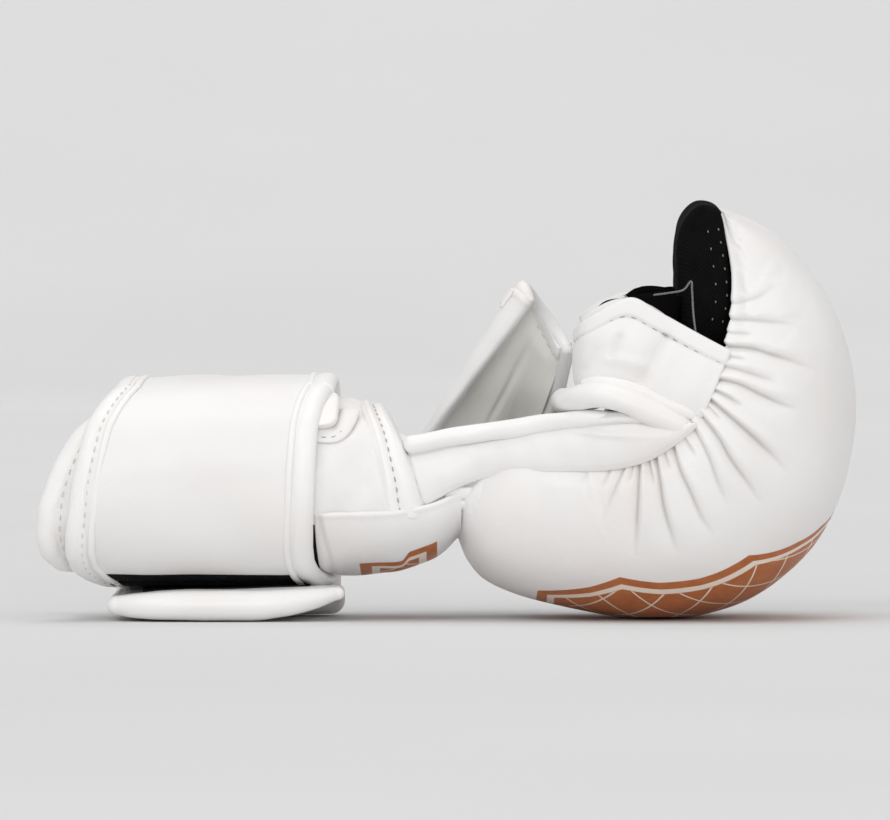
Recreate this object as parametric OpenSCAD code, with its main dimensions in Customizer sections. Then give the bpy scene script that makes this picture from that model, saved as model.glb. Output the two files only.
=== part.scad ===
// Open-palm sparring glove, left hand, lying on the back of its padding.
// +X runs from the wrist to the knuckles, +Y towards the thumb, +Z out of the palm.
// Every soft layer is a grid of points: rows run along the hand, columns run around it.

/* [Pad] */
// Widest half width of the padding, at the knuckles
pad_half_w = 57; // [52:1:60]
// How far the side seam is tucked in under the puffed side wall
seam_tuck = 4; // [2:0.5:5]
// Thickness of the leather shell
shell_t = 1.2; // [0.8:0.1:1.5]
// Thickness of the fabric lining
lining_t = 1.0; // [0.6:0.1:1.0]

/* [Cuff] */
// Half width of the cuff under the wrap
cuff_half_w = 38; // [36:0.5:40]
// Half height of the cuff under the wrap
cuff_half_h = 30; // [28:0.5:30]
// Thickness of the cuff wall
cuff_wall_t = 6.7; // [6:0.1:8]

/* [Straps] */
// Thickness of the wrist wrap
wrap_t = 4.5; // [4:0.1:4.5]
// Radius of the rolled edges on the wrap
wrap_roll_r = 2.6; // [2.2:0.1:2.6]
// Thickness of the padded closure strap
closure_t = 9.6; // [8:0.1:9.6]

/* [Fingers] */
// Half width of one finger loop
finger_half_w = 10.6; // [9:0.1:10.8]
// Thickness of a finger loop's leather
finger_leather_t = 1.3; // [1:0.1:1.5]
// Radius of the rolled bar across the palm
bar_r = 4.2; // [3.5:0.1:4.3]

/* [Thumb] */
// Padded wall of the thumb loop
thumb_wall_t = 5.4; // [4.5:0.1:6]

/* [Hidden] */

leather = "whitesmoke";
inner_black = "#141416";
foam = "#cfc9bb";

gap = 0.1;       // between layers that are sewn or glued together
move_gap = 0.5;  // between bodies that move apart

// ---- curves and grids ---------------------------------------------------------------------

function lerp(a, b, t) = a + (b - a) * t;
function unit(v) = v / norm(v);
function steps(a, b, n) = [for (i = [0:n]) a + (b - a) * i / n];
function grid(us, vs, f) = [for (u = us) [for (v = vs) f(u, v)]];
function signed_power(x, e) = sign(x) * pow(abs(x), e);

// Smooth curve through the points of p, with t from 0 to 1
function spline(p, t) =
    let (
        n = len(p) - 1,
        s = min(max(t, 0), 1) * n,
        i = min(floor(s), n - 1),
        f = s - i,
        a = p[max(i - 1, 0)],
        b = p[i],
        c = p[i + 1],
        d = p[min(i + 2, n)]
    )
    0.5 * (2 * b + (c - a) * f + (2 * a - 5 * b + 4 * c - d) * f * f + (3 * b - a - 3 * c + d) * f * f * f);

// Closed solid between two grids of points. A closed skin joins its last column to its first.
module skin(outer, inner, closed = false, flip = false) {
    rows = len(outer);
    cols = len(outer[0]);
    count = rows * cols;
    spans = closed ? cols : cols - 1;
    function at(i, j, side) = side * count + i * cols + j % cols;
    function quad(a, b, c, d) = [[a, b, c], [a, c, d]];
    faces = [
        for (i = [0:rows - 2], j = [0:spans - 1])
            each quad(at(i, j, 0), at(i + 1, j, 0), at(i + 1, j + 1, 0), at(i, j + 1, 0)),
        for (i = [0:rows - 2], j = [0:spans - 1])
            each quad(at(i, j, 1), at(i, j + 1, 1), at(i + 1, j + 1, 1), at(i + 1, j, 1)),
        for (j = [0:spans - 1])
            each quad(at(0, j + 1, 0), at(0, j + 1, 1), at(0, j, 1), at(0, j, 0)),
        for (j = [0:spans - 1])
            each quad(at(rows - 1, j, 0), at(rows - 1, j, 1), at(rows - 1, j + 1, 1), at(rows - 1, j + 1, 0)),
        if (!closed) for (i = [0:rows - 2])
            each quad(at(i, 0, 0), at(i, 0, 1), at(i + 1, 0, 1), at(i + 1, 0, 0)),
        if (!closed) for (i = [0:rows - 2])
            each quad(at(i + 1, cols - 1, 0), at(i + 1, cols - 1, 1), at(i, cols - 1, 1), at(i, cols - 1, 0))
    ];
    points = concat([for (row = outer) each row], [for (row = inner) each row]);
    polyhedron(points, flip ? [for (f = faces) [f[2], f[1], f[0]]] : faces, convexity = 6);
}

// Rings of the given radius along a path
function tube_rings(path, r, sides) =
    let (n = len(path) - 1)
    [for (i = [0:n])
        let (
            along = unit(path[min(i + 1, n)] - path[max(i - 1, 0)]),
            level = unit(cross(abs(along.z) > 0.95 ? [1, 0, 0] : [0, 0, 1], along)),
            up = cross(along, level)
        )
        [for (k = [0:sides - 1]) path[i] + r * (cos(360 * k / sides) * level + sin(360 * k / sides) * up)]];

// Round cord of radius r along a path, with flat ends
module cord(path, r, sides = 10) {
    rings = tube_rings(path, r, sides);
    rows = len(rings);
    function at(i, k) = i * sides + k % sides;
    polyhedron([for (ring = rings) each ring], [
        for (i = [0:rows - 2], k = [0:sides - 1])
            each [[at(i, k), at(i + 1, k), at(i + 1, k + 1)], [at(i, k), at(i + 1, k + 1), at(i, k + 1)]],
        [for (k = [0:sides - 1]) at(0, k)],
        [for (k = [sides - 1:-1:0]) at(rows - 1, k)]
    ], convexity = 6);
}

// ---- padding over the back of the hand and the knuckles --------------------------------------

// Stations from the wrist rim to the fingertip end. Points are [x, z].
seam_line = [
    [14, 49.5], [22, 50.5], [38, 51], [55, 51.5], [69, 55.5],
    [81, 65], [88, 79], [93.5, 94], [95.5, 114], [92, 134]
];
crown_line = [
    [8, 27], [13, 13], [36, 5], [70, -0.5], [101, 6],
    [123, 25], [134, 53], [135, 82], [124, 113], [93, 135.5]
];
inner_line = [
    [10, 29], [22, 31], [38, 29.5], [60, 28.5], [84, 35],
    [98, 52], [102, 70], [102, 86], [98, 112], [91.5, 132.5]
];
half_widths = pad_half_w * [0.64, 0.77, 0.86, 0.93, 0.98, 1, 0.98, 0.93, 0.84, 0.66];
side_walls = [2.5, 7, 9, 9, 9, 9, 8, 8, 6, 2.5];
seam_rim_t = 2.5;

// Point of the padding at station t and angle a, from the near seam at 0 through the crown at 90
function pad_surface(t, a, crown, wall, tuck) =
    let (
        s = sin(a),
        c = cos(a),
        depth = pow(max(s, 0), 0.85),
        from = spline(seam_line, t),
        to = spline(crown, t),
        w = spline(half_widths, t) - wall
    )
    [
        lerp(from.x, to.x, depth),
        -(w * signed_power(c, 0.75) - sign(c) * tuck * pow(1 - s, 4)),
        lerp(from.y, to.y, depth)
    ];
function pad_outer(t, a) = pad_surface(t, a, crown_line, 0, seam_tuck);
function pad_inner(t, a) =
    let (wall = spline(side_walls, t))
    pad_surface(t, a, inner_line, wall, seam_tuck + seam_rim_t - wall);

// Point at a depth in the padding, where depth is worked out from the local thickness
function pad_layer(t, a, depth) =
    let (o = pad_outer(t, a), i = pad_inner(t, a), thick = norm(i - o))
    o + (i - o) * depth(thick) / thick;

// Every layer uses the same stations and angles, so that the layers nest
core_stations = [0.05, 0.11, 0.19, 0.28, 0.37, 0.45, 0.53, 0.61, 0.69, 0.75, 0.81, 0.86, 0.91, 0.96];
core_angles = [12, 22, 36, 52, 70, 90, 110, 128, 144, 158, 168];
pad_stations = concat([0, 0.02], core_stations, [1]);
pad_angles = concat([0, 5], core_angles, [175, 180]);
lining_end = 0.75;

shell_depth = function (thick) min(shell_t, 0.35 * thick);
under_shell = function (thick) min(shell_t + gap, 0.38 * thick);
mid_above = function (thick) 0.5 * thick - gap / 2;
mid_below = function (thick) 0.5 * thick + gap / 2;
above_lining = function (thick) thick - min(lining_t + gap, 0.33 * thick);
lining_top = function (thick) thick - min(lining_t, 0.3 * thick);
no_depth = function (thick) 0;
full_depth = function (thick) thick;

module pad_skin(stations, angles, top, bottom) {
    skin(
        grid(stations, angles, function (t, a) pad_layer(t, a, top)),
        grid(stations, angles, function (t, a) pad_layer(t, a, bottom))
    );
}

module back_shell() {
    color(leather) pad_skin(pad_stations, pad_angles, no_depth, shell_depth);
}

module back_foam_outer() {
    color(foam) pad_skin(core_stations, core_angles, under_shell, mid_above);
}

module back_foam_inner() {
    color(foam) pad_skin(core_stations, core_angles, mid_below, above_lining);
}

module back_lining() {
    stations = [for (t = core_stations) if (t <= lining_end) t];
    color(inner_black) pad_skin(stations, core_angles, lining_top, full_depth);
}

// ---- black padded hood in front of the fingertips --------------------------------------------

hood_stations = [for (t = core_stations) if (t > lining_end) t];
// Face of the hood at its near edge, from the lower lip to the top, as [x, z]
hood_face_line = [
    [88, 90], [81, 90.5], [77.5, 98], [76.5, 110],
    [76.8, 122], [79, 132.5], [84.5, 137.8], [89.5, 136]
];
hood_cover_t = 1.0;
hood_end_angle = 78;  // angle from the crown at which the hood runs out into the seam

function hood_back(t, a) = pad_inner(t, a) - [gap, 0, 0];
// Point of the hood's face, sunk by inset into the hood
function hood_face(t, a, inset) =
    let (
        first = hood_stations[0],
        last = hood_stations[len(hood_stations) - 1],
        back = hood_back(t, a),
        line = spline(hood_face_line, (t - first) / (last - first)),
        fill = 1 - 0.94 * pow(abs(a - 90) / hood_end_angle, 9),
        face = [line.x + back.x - hood_back(t, 6).x, back.y, line.y],
        full = back + (face - back) * fill,
        deep = norm(full - back)
    )
    full + (back - full) * min(inset / max(deep, 0.1), 0.45);

module finger_hood_cover() {
    color(inner_black) skin(
        grid(hood_stations, core_angles, function (t, a) hood_face(t, a, hood_cover_t)),
        grid(hood_stations, core_angles, function (t, a) hood_face(t, a, 0)),
        flip = true
    );
}

module finger_hood_foam() {
    color(foam) skin(
        grid(hood_stations, core_angles, function (t, a) hood_back(t, a)),
        grid(hood_stations, core_angles, function (t, a) hood_face(t, a, hood_cover_t + gap))
    );
}

// ---- palm side: rolled grip bar, bands and side panels -----------------------------------------

bar_points = [
    [75, -52, 70], [66, -52.5, 74], [57, -52, 76.5], [47, -50, 76.5], [40, -43, 75],
    [37.5, -31, 73.5], [37, -15, 72.5], [38.5, 0, 72], [42.5, 15, 71.5], [47, 31, 71.5],
    [50, 43, 72], [55, 50, 74.5], [61, 52, 76], [68, 52.5, 74], [75, 52, 70]
];
bar_path = [for (t = steps(0, 1, 32)) spline(bar_points, t)];
bar_cover_t = 1.2;
bar_sides = 10;

module grip_bar_cover() {
    color(leather) skin(
        tube_rings(bar_path, bar_r, bar_sides),
        tube_rings(bar_path, bar_r - bar_cover_t, bar_sides),
        closed = true
    );
}

module grip_bar_core() {
    color(foam) cord(bar_path, bar_r - bar_cover_t - gap, bar_sides);
}

band_t = 2.4;
// Band on the little-finger side, from the wrist to the grip bar: lower and upper edges
ulnar_lower = [
    [-5, -32, 46], [14, -31.5, 50.6], [22, -38, 51.6], [38, -44, 52.2],
    [54, -47.5, 52.8], [65, -49.5, 55.8], [74, -51, 61]
];
ulnar_upper = [
    [-7, -28, 57], [12, -28, 61], [22, -32.5, 63], [38, -39, 65.5],
    [50, -43.5, 67.5], [61, -48, 68], [73, -50.5, 65]
];

// side -1 is the little-finger side, 1 the thumb side
function band_point(u, v, inset, side) =
    let (p = lerp(spline(ulnar_lower, u), spline(ulnar_upper, u), v))
    [p.x, side * (-p.y - inset), p.z];

module band(u_from, u_to, rows, side) {
    us = steps(u_from, u_to, rows);
    vs = [1, 0.75, 0.5, 0.25, 0];
    skin(
        grid(us, vs, function (u, v) band_point(u, v, 0, side)),
        grid(us, vs, function (u, v) band_point(u, v, band_t, side)),
        flip = side > 0
    );
}

module ulnar_band() {
    color(leather) band(0, 1, 14, -1);
}

module radial_band() {
    color(leather) band(0.68, 1, 6, 1);
}

band_edge_r = 2.6;
module ulnar_band_edge() {
    lift = [0, band_t / 2, band_edge_r + gap];
    color(leather) cord([for (u = steps(0.02, 0.48, 9)) spline(ulnar_upper, u) + lift], band_edge_r, 8);
}

// Side panels between the grip bar and the finger hem
panel_lower = [[48, -48.5, 81.5], [58, -49.5, 81.5], [68, -50, 79.5], [78, -50.3, 75], [85.5, -50.5, 75.5]];
panel_upper = [[58, -46.5, 104.5], [67, -47, 100.5], [75, -47.3, 97], [84, -47.5, 93], [91.3, -47.2, 90.5]];
panel_t = 1.8;

module finger_panel(side) {
    function p(u, v, inset) =
        let (q = lerp(spline(panel_lower, u), spline(panel_upper, u), v))
        [q.x, side * (-q.y - inset), q.z];
    us = steps(0, 1, 8);
    vs = [1, 0.66, 0.33, 0];
    skin(
        grid(us, vs, function (u, v) p(u, v, 0)),
        grid(us, vs, function (u, v) p(u, v, panel_t)),
        flip = side > 0
    );
}

module ulnar_finger_panel() {
    color(leather) finger_panel(-1);
}

module radial_finger_panel() {
    color(leather) finger_panel(1);
}

// ---- finger loops ------------------------------------------------------------------------------

finger_y = [-33.4, -11.2, 11.2, 33.4];  // little, ring, middle, index
finger_lining_t = 0.9;

// Rounded ring of one loop: v runs from the grip bar to the hem, a runs around
function finger_point(k, v, a, inset) =
    let (
        palm_x = lerp(46, 45.5, v) + inset,
        back_x = lerp(72.5, 75, v) - inset,
        mid_x = (palm_x + back_x) / 2,
        reach = (back_x - palm_x) / 2,
        x = mid_x + reach * signed_power(cos(a), 0.7),
        hem = 105.5 - 0.036 * pow(x - 60, 2),
        z = lerp(78 - (x - mid_x) * 0.05, hem, v)
    )
    [x, finger_y[k] - (finger_half_w - inset) * signed_power(sin(a), 0.7), z];

finger_angles = steps(0, 345, 23);
module finger_sleeve(k, v_from, v_to, from, to) {
    vs = steps(v_from, v_to, 3);
    skin(
        grid(vs, finger_angles, function (v, a) finger_point(k, v, a, from)),
        grid(vs, finger_angles, function (v, a) finger_point(k, v, a, to)),
        closed = true
    );
}

module finger_loop(k) {
    color(leather) finger_sleeve(k, 0, 1, 0, finger_leather_t);
}

module finger_lining(k) {
    from = finger_leather_t + gap;
    color(inner_black) finger_sleeve(k, 0.02, 0.97, from, from + finger_lining_t);
}

// ---- thumb loop --------------------------------------------------------------------------------

thumb_base = [17, 36];
thumb_base_r = [23, 19];
thumb_top = [33, 30];
thumb_top_r = [10, 10];
thumb_shell_t = 1.3;
thumb_lining_t = 1.0;

// u runs around the thumb from the palm-side edge, v from the base up to the hem
function thumb_point(u, v, inset) =
    let (
        a = lerp(232, lerp(52, 4, v), u),
        c = lerp(thumb_base, thumb_top, v),
        r = lerp(thumb_base_r, thumb_top_r, v),
        foot = 52.5 + 6 * max(0, (a - 170) / 62),
        head = 99.5 - 10 * cos(a)
    )
    [c.x + (r.x - inset) * cos(a), c.y + (r.y - inset) * sin(a), lerp(foot, head, v)];

module thumb_skin(v_from, v_to, u_in, from, to) {
    vs = steps(v_from, v_to, 6);
    us = steps(u_in, 1 - u_in, 16);
    skin(
        grid(vs, us, function (v, u) thumb_point(u, v, from)),
        grid(vs, us, function (v, u) thumb_point(u, v, to)),
        flip = true
    );
}

module thumb_loop_shell() {
    color(leather) thumb_skin(0, 0.94, 0, 0, thumb_shell_t);
}

module thumb_loop_foam() {
    color(foam) thumb_skin(0.03, 0.92, 0.02, thumb_shell_t + gap, thumb_wall_t - thumb_lining_t - gap);
}

module thumb_loop_lining() {
    color(leather) thumb_skin(0.01, 0.93, 0.01, thumb_wall_t - thumb_lining_t, thumb_wall_t);
}

module thumb_loop_binding() {
    color(leather) cord([for (u = steps(0, 1, 20)) thumb_point(u, 1, thumb_wall_t / 2)], 3, 8);
}

// ---- cuff --------------------------------------------------------------------------------------

// Stations from the open end to the hand
cuff_x = [-125.4, -121, -115.5, -80, -45, -31, -22];
cuff_narrowing = [4, 1.5, 0.4, 0, 0, 0.5, 1.5];
cuff_lowering = [7, 3.5, 1, 0, 0, 1.5, 4.5];
cuff_mids = [36, 41.5, 44.8, 45.5, 45.5, 44.5, 42.5];
cuff_hand_x = cuff_x[6];
cuff_skew = 0.12;  // the cuff lies a little askew: its little-finger side sits further back
cuff_slit = 9;  // half angle of the slit along the palm side

// Rounded ring around the wrist: a is 0 at the palm side, 90 on the little-finger side
function wrist_ring(x, a, w, h, z) =
    let (
        y = -w * signed_power(sin(a), 0.8),
        skew = cuff_skew * min(max((cuff_hand_x - x) / 20, 0), 1)
    )
    [x + skew * y, y, z + h * signed_power(cos(a), 0.8)];

function cuff_point(s, a, inset) =
    wrist_ring(
        spline(cuff_x, s), a,
        cuff_half_w - spline(cuff_narrowing, s) - inset,
        cuff_half_h - spline(cuff_lowering, s) - inset,
        spline(cuff_mids, s)
    );

cuff_rows = [0, 0.08, 0.17, 0.33, 0.5, 0.67, 0.83, 1];
cuff_angles = steps(cuff_slit, 360 - cuff_slit, 30);
module cuff_layer(from, to) {
    skin(
        grid(cuff_rows, cuff_angles, function (s, a) cuff_point(s, a, from)),
        grid(cuff_rows, cuff_angles, function (s, a) cuff_point(s, a, to))
    );
}

cuff_shell_t = 1.3;
module cuff_shell() {
    color(leather) cuff_layer(0, cuff_shell_t);
}

module cuff_foam() {
    color(foam) cuff_layer(cuff_shell_t + gap, cuff_wall_t - lining_t - gap);
}

module cuff_lining() {
    color(inner_black) cuff_layer(cuff_wall_t - lining_t, cuff_wall_t);
}

cuff_roll_r = 3.4;
module cuff_rear_binding() {
    shift = [-cuff_roll_r - gap, 0, 0];
    path = [for (a = steps(cuff_slit, 360 - cuff_slit, 30)) cuff_point(0, a, cuff_wall_t / 2) + shift];
    color(leather) cord(path, cuff_roll_r, 8);
}

// Binding over the two flanks of the cuff's hand end: it leans, so its strip slants across the side
binding_rows = [0.84, 0.9, 0.96];
module cuff_front_binding() {
    function strip(s, a, lift) = cuff_point(s, a, -lift) + [2.5 * sin(a / 2), 0, 0];
    for (flank = [[cuff_slit + 3, 102], [258, 357 - cuff_slit]]) {
        angles = steps(flank[0], flank[1], 10);
        color(leather) skin(
            grid(binding_rows, angles, function (s, a) strip(s, a, 1.1)),
            grid(binding_rows, angles, function (s, a) strip(s, a, gap))
        );
    }
}

// Thin leather between the cuff and the palm opening
bridge_x = [-21.8, -16, -11];
module wrist_bridge() {
    function p(s, a, inset) =
        wrist_ring(
            spline(bridge_x, s), a,
            lerp(34, 32, s) - inset, lerp(22, 16, s) - inset, lerp(41, 39.5, s)
        );
    angles = steps(38, 322, 22);
    color(leather) skin(
        grid([0, 0.5, 1], angles, function (s, a) p(s, a, 0)),
        grid([0, 0.5, 1], angles, function (s, a) p(s, a, 2.2))
    );
}

// Printed panel over the back of the wrist
panel_x = [-36, -26, -16, -6, 4];
panel_widths = [39.9, 39.2, 38.4, 37, 34.5];
panel_heights = [31.6, 30, 27, 23.5, 20];
panel_mids = [45.5, 45, 43.5, 42.5, 42];
wrist_panel_t = 2;
module wrist_back_panel() {
    function p(s, a, inset) =
        wrist_ring(
            spline(panel_x, s), a,
            spline(panel_widths, s) - inset, spline(panel_heights, s) - inset, spline(panel_mids, s)
        );
    rows = [0, 0.25, 0.5, 0.75, 1];
    angles = steps(104, 256, 18);
    color(leather) skin(
        grid(rows, angles, function (s, a) p(s, a, 0)),
        grid(rows, angles, function (s, a) p(s, a, s < 0.6 ? 0.9 : wrist_panel_t))
    );
}

// Soft leather that joins the wrist to the padding and folds as the wrist bends
module neck_gusset() {
    function p(s, a, inset) =
        wrist_ring(lerp(4.6, 7.2, s), a, lerp(31, 30, s) - inset, lerp(12, 11, s) - inset, 42.5);
    angles = steps(92, 268, 14);
    color(leather) skin(
        grid([0, 1], angles, function (s, a) p(s, a, 0)),
        grid([0, 1], angles, function (s, a) p(s, a, 1.4))
    );
}

// ---- wrist wrap and closure strap ----------------------------------------------------------------

wrap_x = [-112, -43];  // panel between its rolled edges
wrap_flap_angles = [27, 163];
wrap_anchor_angles = [165, 384];
wrap_in_w = cuff_half_w + move_gap;
wrap_in_h = cuff_half_h + move_gap;
cuff_mid_z = 45.5;

function wrap_point(x, a, out) = wrist_ring(x, a, wrap_in_w + out, wrap_in_h + out, cuff_mid_z);

module wrap_layer(x_range, angles, from, to) {
    skin(
        grid(x_range, angles, function (x, a) wrap_point(x, a, to)),
        grid(x_range, angles, function (x, a) wrap_point(x, a, from))
    );
}

roll_gap = 0.4;

// The two rolled edges of a stretch of the wrap
module wrap_rolls(angles) {
    for (x = [wrap_x[0] - wrap_roll_r - roll_gap, wrap_x[1] + wrap_roll_r + roll_gap])
        cord([for (a = angles) wrap_point(x, a, wrap_roll_r)], wrap_roll_r, 8);
}

flap_steps = steps(wrap_flap_angles[0], wrap_flap_angles[1], 16);
anchor_steps = steps(wrap_anchor_angles[0], wrap_anchor_angles[1], 24);
cover_t = 1.0;
field_from = 138;  // where the white cover ends and the loop field begins

module wrist_wrap_anchor() {
    color(leather) wrap_layer(wrap_x, anchor_steps, 0, wrap_t);
}

module wrist_wrap_anchor_edges() {
    color(leather) wrap_rolls(anchor_steps);
}

module wrist_wrap_cover() {
    color(leather) wrap_layer(wrap_x, steps(wrap_flap_angles[0], field_from, 14), wrap_t - cover_t, wrap_t);
}

module wrist_loop_field() {
    color(inner_black)
        wrap_layer(wrap_x, steps(field_from + 0.4, wrap_flap_angles[1], 4), wrap_t - cover_t, wrap_t);
}

module wrist_wrap_foam() {
    color(foam) wrap_layer(wrap_x, flap_steps, cover_t + gap, wrap_t - cover_t - gap);
}

module wrist_wrap_backing() {
    color(leather) wrap_layer(wrap_x, steps(wrap_flap_angles[0], 118, 12), 0, cover_t);
}

module wrist_wrap_hook() {
    color(inner_black) wrap_layer(wrap_x, steps(118.5, wrap_flap_angles[1], 5), cover_t / 2, cover_t);
}

module wrist_wrap_edges() {
    color(leather) wrap_rolls(flap_steps);
}

// Loop patch on the cuff, under the flap's recessed hook
module cuff_loop_patch() {
    color(inner_black) wrap_layer(wrap_x, steps(122, 160, 6), gap - move_gap, 0);
}

closure_x = [-112, -109, -103, -42, -36, -33];
closure_hinge_y = 20;
closure_mid = closure_t / 2;
// Share of the thickness left at x, so that both long edges are rounded
function closure_round(x) =
    let (edge = min(x - closure_x[0], closure_x[5] - x))
    edge > 8 ? 1 : lerp(0.45, 1, sqrt(max(0, 1 - pow(1 - edge / 8, 2))));
// Profile from the tip to the hinge: [y, share of the thickness]
closure_profile = [
    [-36, 0.3], [-35.2, 0.6], [-33, 0.88], [-29, 1], [-18, 1], [-4, 1], [10, 1], [closure_hinge_y - 0.4, 1]
];

// Point of the padded tail: level runs from -1 on the outside to 1 on the face against the wrap
function closure_tail(x, p, level) = [x, p[0], closure_mid + level * closure_mid * p[1] * closure_round(x)];
module closure_layer(low, high) {
    skin(
        grid(closure_x, closure_profile, function (x, p) closure_tail(x, p, low)),
        grid(closure_x, closure_profile, function (x, p) closure_tail(x, p, high))
    );
}

module closure_strap_cover() {
    color(leather) closure_layer(-1, -0.74);
}

module closure_strap_foam() {
    color(foam) closure_layer(-0.72, 0.76);
}

module closure_strap_backing() {
    color(leather) closure_layer(0.78, 1);
}

hook_t = 0.5;
module closure_strap_hook() {
    color(inner_black) translate([-100, -28, closure_t + gap / 2]) cube([55, 42, hook_t]);
}

// Root of the closure strap: it climbs the thumb side, where it is sewn to the wrap. Points are [y, z].
root_inner = [[20, closure_t], [28, 13], [36, 19.5], [41.6, 29], [43.9, 40], [43.9, 51]];
root_outer = [[20, 0], [32, 2], [42, 9], [47.5, 20], [49.5, 33], [48.5, 51]];
module closure_strap_root() {
    rows = steps(0, 1, 12);
    xs = [-111, -108, -102, -43, -37, -34];
    function shrink(x, from, to) = lerp(to, from, 0.5 + 0.5 * closure_round(x));
    color(leather) skin(
        grid(xs, rows, function (x, s)
            let (o = spline(root_outer, s), i = spline(root_inner, s), p = shrink(x, o, i)) [x, p.x, p.y]),
        grid(xs, rows, function (x, s) let (i = spline(root_inner, s)) [x, i.x, i.y])
    );
}

// ---- parts ---------------------------------------------------------------------------------------

back_shell();
back_foam_outer();
back_foam_inner();
back_lining();
finger_hood_cover();
finger_hood_foam();
grip_bar_cover();
grip_bar_core();
ulnar_band();
ulnar_band_edge();
radial_band();
ulnar_finger_panel();
radial_finger_panel();
neck_gusset();
finger_loop(0);  // finger_loop_little
finger_loop(1);  // finger_loop_ring
finger_loop(2);  // finger_loop_middle
finger_loop(3);  // finger_loop_index
finger_lining(0);  // finger_lining_little
finger_lining(1);  // finger_lining_ring
finger_lining(2);  // finger_lining_middle
finger_lining(3);  // finger_lining_index
thumb_loop_shell();
thumb_loop_foam();
thumb_loop_lining();
thumb_loop_binding();
cuff_shell();
cuff_foam();
cuff_lining();
cuff_rear_binding();
cuff_front_binding();
cuff_loop_patch();
wrist_bridge();
wrist_back_panel();
wrist_wrap_anchor();
wrist_wrap_anchor_edges();
closure_strap_root();
wrist_wrap_cover();
wrist_wrap_foam();
wrist_wrap_backing();
wrist_wrap_edges();
wrist_wrap_hook();
wrist_loop_field();
closure_strap_cover();
closure_strap_foam();
closure_strap_backing();
closure_strap_hook();
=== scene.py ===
import math

import bmesh
import bpy
import numpy as np
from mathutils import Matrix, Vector


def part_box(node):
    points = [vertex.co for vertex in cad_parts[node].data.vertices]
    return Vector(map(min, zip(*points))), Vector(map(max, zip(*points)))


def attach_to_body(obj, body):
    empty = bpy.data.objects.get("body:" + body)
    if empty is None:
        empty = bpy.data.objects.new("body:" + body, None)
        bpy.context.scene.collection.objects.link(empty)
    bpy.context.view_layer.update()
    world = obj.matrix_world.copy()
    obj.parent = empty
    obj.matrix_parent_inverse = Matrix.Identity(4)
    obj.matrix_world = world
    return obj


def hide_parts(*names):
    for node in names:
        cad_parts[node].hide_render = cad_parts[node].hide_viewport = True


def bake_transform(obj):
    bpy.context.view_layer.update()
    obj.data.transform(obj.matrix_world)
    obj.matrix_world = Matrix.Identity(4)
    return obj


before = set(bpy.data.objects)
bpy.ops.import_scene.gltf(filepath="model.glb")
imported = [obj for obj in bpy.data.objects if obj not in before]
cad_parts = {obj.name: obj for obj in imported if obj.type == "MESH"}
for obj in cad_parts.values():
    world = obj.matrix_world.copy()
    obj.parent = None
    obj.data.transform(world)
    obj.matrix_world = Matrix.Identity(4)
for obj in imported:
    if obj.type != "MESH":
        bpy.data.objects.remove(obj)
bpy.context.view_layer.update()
MM = 0.001


# ---- numbers and curves: everything below is in millimetres, in the CAD frame ----

def lerp(a, b, t):
    return a + (b - a) * t


def smooth(t):
    t = np.clip(t, 0, 1)
    return t * t * (3 - 2 * t)


def spow(x, e):
    return np.sign(x) * np.abs(x) ** e


def unit(v):
    return v / np.maximum(np.linalg.norm(v, axis=-1, keepdims=True), 1e-9)


def spline(points, t):
    """Smooth curve through the points, for t from 0 to 1."""
    p = np.asarray(points, float)
    flat = p.ndim == 1
    p = p[:, None] if flat else p
    n = len(p) - 1
    s = np.clip(t, 0, 1) * n
    i = np.minimum(np.floor(s).astype(int), n - 1)
    f = (s - i)[..., None]
    a, b, c, d = p[np.maximum(i - 1, 0)], p[i], p[i + 1], p[np.minimum(i + 2, n)]
    r = 0.5 * (2 * b + (c - a) * f + (2 * a - 5 * b + 4 * c - d) * f**2 + (3 * b - a - 3 * c + d) * f**3)
    return r[..., 0] if flat else r


def box(node):
    lo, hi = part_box(node)
    return np.array(lo) / MM, np.array(hi) / MM


def ripple(points, size, seed):
    """Smooth seeded waviness, about -1 to 1, with waves of about the given size."""
    rng = np.random.default_rng(seed)
    total = np.zeros(points.shape[:-1])
    for k in range(7):
        direction = unit(rng.normal(size=3))
        wave = size * rng.uniform(0.6, 1.6)
        total += np.sin(points @ direction * (2 * math.pi / wave) + rng.uniform(0, 6.28))
    return total / 3.2


def grid(a, b):
    return np.meshgrid(a, b, indexing="ij")


def run_length(p):
    """Distance of each point from the first one, along a line of points or along each row of a grid."""
    run = np.cumsum(np.linalg.norm(np.diff(p, axis=-2), axis=-1), -1)
    return np.concatenate([np.zeros((*run.shape[:-1], 1)), run], -1)


def evenly(n):
    return np.linspace(0, 1, n)


def between(outer, inner):
    """What solid needs for a shell between two surfaces."""
    return (outer + inner) / 2, (outer - inner) / 2


def grid_normals(p):
    return unit(np.cross(np.gradient(p, axis=0), np.gradient(p, axis=1)))


# ---- materials ----

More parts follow.
